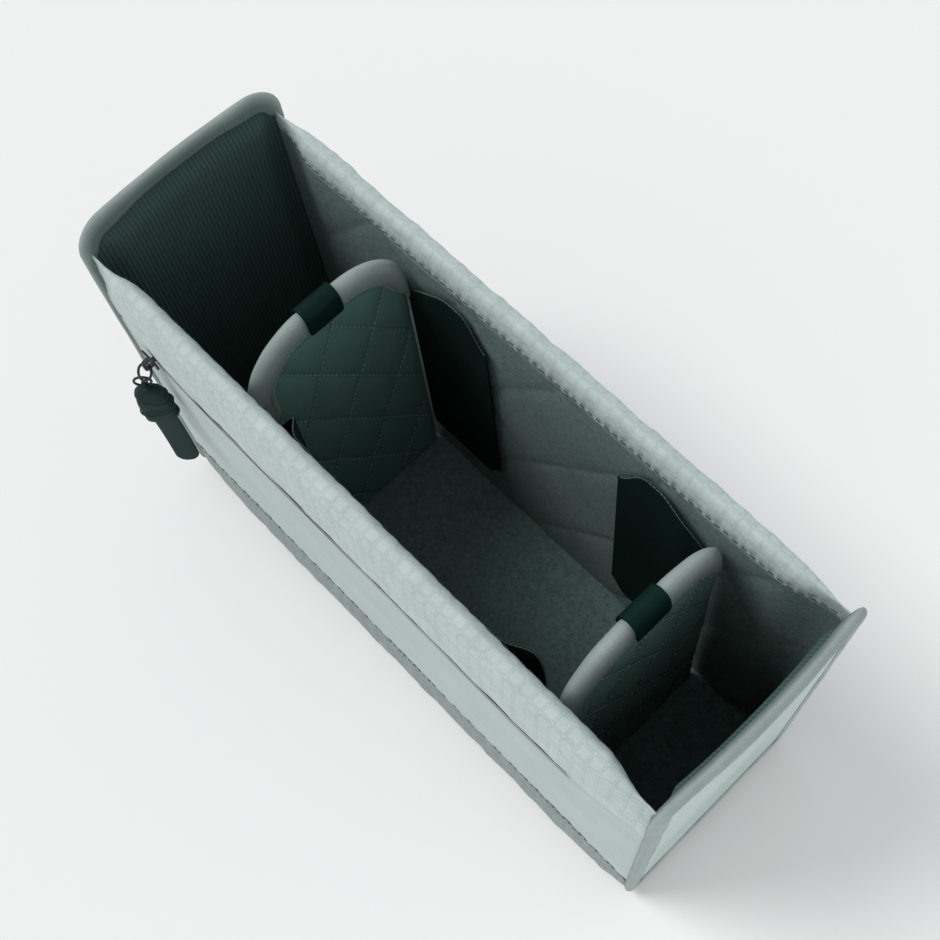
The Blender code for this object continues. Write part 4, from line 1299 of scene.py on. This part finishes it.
def make_wing(divider, x, direction, side, label):
    name = f"{divider}_{label}"
    low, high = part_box(name + "_wing")
    start = low.x if direction > 0 else high.x
    length = high.x - low.x
    face = max(abs(low.y), abs(high.y))
    curl, drop = (0.0064, 0.041) if side < 0 else (0.0012, 0.019)

    def off_wall(share, z):
        """How far the free cloth above the hook strip's foot curls away from the wall near the pad."""
        return curl * math.sin(math.pi * min(share / 0.60, 1)) ** 2.2 * smooth((z - 0.085) / 0.055)

    def place(share, up):
        top = wing_top(share, low.z, high.z, drop)
        foot = low.z + 0.010 * smooth((share - 0.78) / 0.22) ** 1.6
        z = foot + (top - foot) * up
        y = side * (face - 0.0001 - off_wall(share, z))
        clear = 0.0015 * smooth((z - PAD_TAPE_ENDS[side] + 0.003) / 0.003) * (1 - share) ** 6
        return Vector((start + direction * (length * share + clear), y, z)), (length * share, z)

    piece = cloth_grid(name + "_wing_cloth", 70, 150, place)
    turn_out(piece, lambda place: Vector((0, side, 0)))
    thicken(piece, 0.0008)
    sew_in(piece, wing_cloth(), name + "_wing", "divider_cloth", name + "_wing")

    def root(across, up):
        """The edge sewn to the pad's side, which runs on behind the fold."""
        a = start + direction * (0.0034 * across - 0.0022)
        z = low.z + (wing_top(0, low.z, high.z, drop) - low.z) * up
        return Vector((a, side * (face + 0.0004), z)), (a, z)

    sewn = cloth_grid(name + "_sewn_root", 4, 60, root)
    turn_out(sewn, lambda place: Vector((0, side, 0)))
    thicken(sewn, 0.0003)
    sew_in(sewn, wing_cloth(), divider, "divider_cloth")
    strip_low, strip_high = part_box(name + "_hook_strip")
    outer = max(abs(strip_low.y), abs(strip_high.y))

    def strip(across, up):
        a = strip_low.x + (strip_high.x - strip_low.x) * across
        z = strip_low.z + (strip_high.z - strip_low.z) * up
        return Vector((a, side * outer, z)), (a, z)

    hooks = cloth_grid(name + "_hooks", 24, 90, strip)
    turn_out(hooks, lambda place: Vector((0, side, 0)))
    ruffle(hooks, lambda place: -0.00010 + 0.00008 * math.sin(place.x * 2400) * math.sin(place.z * 2400))
    thicken(hooks, 0.0006)
    sew_in(hooks, hook_tape(), name + "_wing", "hook_tape", name + "_hook_strip")
    edge = []
    for step in range(1, 60):
        share = step / 60
        high_edge = wing_top(share, low.z, high.z, drop)
        edge.append((start + direction * length * share, side * (face - 0.0005 - off_wall(share, high_edge)),
                     high_edge))
    sew_rows(name + "_edge_cord", [edge], lambda place: Vector((0, 0, 1)),
             thread("wing_thread", (0.11, 0.17, 0.155)), name + "_wing", "divider_cloth", pitch=0.0018, length=0.0017)


# Stage and camera

def make_stage():
    deselect()
    bpy.ops.mesh.primitive_plane_add(size=6, location=(0, 0, 0))
    floor = bpy.context.active_object
    floor.name = "studio_floor"
    material = bpy.data.materials.new("pale_floor")
    material.use_nodes = True
    shader = material.node_tree.nodes["Principled BSDF"]
    shader.inputs["Base Color"].default_value = (0.83, 0.828, 0.822, 1)
    shader.inputs["Roughness"].default_value = 0.9
    floor.data.materials.append(material)
    world = bpy.context.scene.world or bpy.data.worlds.new("studio")
    bpy.context.scene.world = world
    world.use_nodes = True
    tree = world.node_tree
    tree.nodes.clear()
    fill = tree.nodes.new("ShaderNodeBackground")
    fill.inputs["Color"].default_value = (0.96, 0.985, 1.0, 1)
    fill.inputs["Strength"].default_value = 0.66
    seen = tree.nodes.new("ShaderNodeBackground")
    seen.inputs["Color"].default_value = (0.86, 0.865, 0.865, 1)
    rays = tree.nodes.new("ShaderNodeLightPath")
    shown = math_node(tree, "MAXIMUM", rays.outputs["Is Camera Ray"],
                      math_node(tree, "MAXIMUM", rays.outputs["Is Glossy Ray"], rays.outputs["Is Transmission Ray"]))
    mix = tree.nodes.new("ShaderNodeMixShader")
    output = tree.nodes.new("ShaderNodeOutputWorld")
    tree.links.new(shown, mix.inputs[0])
    tree.links.new(fill.outputs[0], mix.inputs[1])
    tree.links.new(seen.outputs[0], mix.inputs[2])
    tree.links.new(mix.outputs[0], output.inputs[0])
    key = bpy.data.lights.new("key_light", "SUN")
    key.energy = 1.52
    key.angle = math.radians(26)
    low = bpy.data.lights.new("low_card", "AREA")
    low.shape = "RECTANGLE"
    low.size, low.size_y = 0.34, 0.12
    low.energy = 0.42
    for lamp, place, facing in ((key, (0, 0, 1), (-0.85, -0.55, 1.6)), (low, (0.50, -0.10, 0.07), (1, -0.2, 0.02))):
        light = bpy.data.objects.new(lamp.name, lamp)
        light.location = place
        light.rotation_euler = Vector(facing).to_track_quat("Z", "Y").to_euler()
        light.visible_camera = False
        bpy.context.scene.collection.objects.link(light)
    bpy.context.scene.view_settings.view_transform = "Standard"


def make_camera():
    """The photograph's camera: it looks down on the insert from its front right."""
    azimuth, elevation, roll = (math.radians(value) for value in (55.47, 66.31, 9.97))
    back = Vector((math.sin(azimuth) * math.cos(elevation), -math.cos(azimuth) * math.cos(elevation),
                   math.sin(elevation)))
    right = Vector((0, 0, 1)).cross(back).normalized()
    up = back.cross(right)
    level = Matrix((right, up, back))
    turned = Matrix.Rotation(roll, 3, "Z") @ level
    turn = turned.transposed()
    shift = Vector((0.00361, -0.05664, -0.67044))
    data = bpy.data.cameras.new("camera")
    data.sensor_width = 36
    data.lens = 54.36
    data.clip_start = 0.01
    camera = bpy.data.objects.new("camera", data)
    camera.matrix_world = Matrix.Translation(-(turn @ shift)) @ turn.to_4x4()
    bpy.context.scene.collection.objects.link(camera)
    bpy.context.scene.camera = camera


class INSERT_OT_stage(bpy.types.Operator):
    """Add the floor, the studio light and the camera"""
    bl_idname = "insert.stage"
    bl_label = "Stage"

    def execute(self, context):
        make_stage()
        make_camera()
        return {"FINISHED"}


class INSERT_OT_walls(bpy.types.Operator):
    """Sew the rim covers, panels, linings and cores of the two long walls"""
    bl_idname = "insert.walls"
    bl_label = "Long walls"

    def execute(self, context):
        make_rim(-1, "front_rim", lambda x: ZIP_HEIGHT + lip_gap(x), "front_rim_cover")
        make_rim(1, "back_rim", lambda x: ZIP_HEIGHT + 0.0002, "back_rim_cover")
        make_wall_panel(-1, "pocket_panel", lambda x: ZIP_HEIGHT - lip_gap(x), panel_cloth(), "smooth_cloth",
                        "front_pocket_panel", lambda x: -LIP_DIP * lip_gap(x))
        make_wall_panel(1, "back_skin", lambda x: ZIP_HEIGHT, ripstop(), "outer_cloth", "back_wall_skin")
        make_wall_lining(-1, "front_lining", "front_wall_lining")
        make_wall_lining(1, "back_lining", "back_wall_lining")
        make_wall_core(-1, "front_core", "front_wall_foam")
        make_wall_core(1, "back_core", "back_wall_foam")
        dark = thread("dark_thread", (0.07, 0.10, 0.095))
        for side, label in ((-1, "front"), (1, "back")):
            sew_rows(label + "_rim_stitch", [wall_path(side, RIM_STITCH, 0.0, inside=True)],
                     lambda place: Vector((0, -side, 0)), dark, "case", "outer_cloth", pitch=0.0040, length=0.0026)
            sew_rows(label + "_seam_stitch", [wall_path(side, BAND_TOP + 0.0014, 0.0001)],
                     lambda place: Vector((0, side, 0)), dark, "case", "outer_cloth", pitch=0.0032, length=0.0018)
        return {"FINISHED"}


class INSERT_OT_base(bpy.types.Operator):
    """Wrap the base and lay the floor lining"""
    bl_idname = "insert.base"
    bl_label = "Base"

    def execute(self, context):
        make_base_wrap()
        make_floor_lining()
        return {"FINISHED"}


class INSERT_OT_ends(bpy.types.Operator):
    """Make the end panels, their linings and their bound edges"""
    bl_idname = "insert.ends"
    bl_label = "Ends"

    def execute(self, context):
        for sign, label in ((-1, "left"), (1, "right")):
            end_face(label + "_end_cloth", sign, 0.0010, sign, panel_cloth(), "smooth_cloth", -0.0022, 0.014,
                     label + "_end_panel")
            end_face(label + "_end_ribbed_lining", sign, 0.0042, -sign, rib_lining(), "rib_lining", 0.0030, 0.009,
                     label + "_end_lining")
            make_end_binding(sign, label + "_end_bound_edge", label + "_end_binding")
        return {"FINISHED"}


class INSERT_OT_zip(bpy.types.Operator):
    """Lay the zip's tapes and hang its puller"""
    bl_idname = "insert.zip"
    bl_label = "Zip"

    def execute(self, context):
        make_zip()
        make_puller()
        return {"FINISHED"}


class INSERT_OT_dividers(bpy.types.Operator):
    """Make the two dividers with their quilting, binding, tabs and wings"""
    bl_idname = "insert.dividers"
    bl_label = "Dividers"

    def execute(self, context):
        for name, (x, direction) in DIVIDERS.items():
            make_divider_pad(name, x)
            make_divider_binding(name, x)
            make_quilt_stitches(name, x)
            make_pull_tab(name, x)
            make_wing(name, x, direction, 1, "back")
            make_wing(name, x, direction, -1, "front")
        return {"FINISHED"}


class INSERT_OT_hardware(bpy.types.Operator):
    """Finish the metal, the zip teeth and the hidden boards"""
    bl_idname = "insert.hardware"
    bl_label = "Hardware and boards"

    def execute(self, context):
        finishes = (
            (black_metal, ("zip_slider", "slider_ring", "puller_ring", "left_zip_stop", "right_zip_stop")),
            (zip_plastic, ("upper_zip_teeth", "lower_zip_teeth")),
            (board, ("front_wall_board", "back_wall_board", "base_board")),
            (foam_core, ("base_foam",)),
            (rib_lining, ("front_pocket_lining",)),
        )
        for finish, nodes in finishes:
            for node in nodes:
                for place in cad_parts[node].material_slots:
                    place.material = finish()
        return {"FINISHED"}


class INSERT_PT_panel(bpy.types.Panel):
    """Lists the steps and sizes of the insert"""
    bl_label = "Camera bag insert"
    bl_idname = "INSERT_PT_panel"
    bl_space_type = "VIEW_3D"
    bl_region_type = "UI"
    bl_category = "Insert"

    def draw(self, context):
        layout = self.layout
        for group in (context.scene.insert_sizes, context.scene.insert_colours):
            for name in group.bl_rna.properties.keys():
                if name not in ("rna_type", "name"):
                    layout.prop(group, name)
        for step in STEPS:
            layout.operator(step.bl_idname)


STEPS = (INSERT_OT_stage, INSERT_OT_walls, INSERT_OT_base, INSERT_OT_ends, INSERT_OT_zip, INSERT_OT_dividers,
         INSERT_OT_hardware)
CLASSES = (InsertSizes, InsertColours, *STEPS, INSERT_PT_panel)


def register():
    for item in CLASSES:
        bpy.utils.register_class(item)
    bpy.types.Scene.insert_sizes = bpy.props.PointerProperty(type=InsertSizes)
    bpy.types.Scene.insert_colours = bpy.props.PointerProperty(type=InsertColours)


def unregister():
    del bpy.types.Scene.insert_colours
    del bpy.types.Scene.insert_sizes
    for item in reversed(CLASSES):
        bpy.utils.unregister_class(item)


def main():
    register()
    bpy.ops.insert.stage()
    bpy.ops.insert.walls()
    bpy.ops.insert.base()
    bpy.ops.insert.ends()
    bpy.ops.insert.zip()
    bpy.ops.insert.dividers()
    bpy.ops.insert.hardware()


if __name__ == "__main__":
    main()
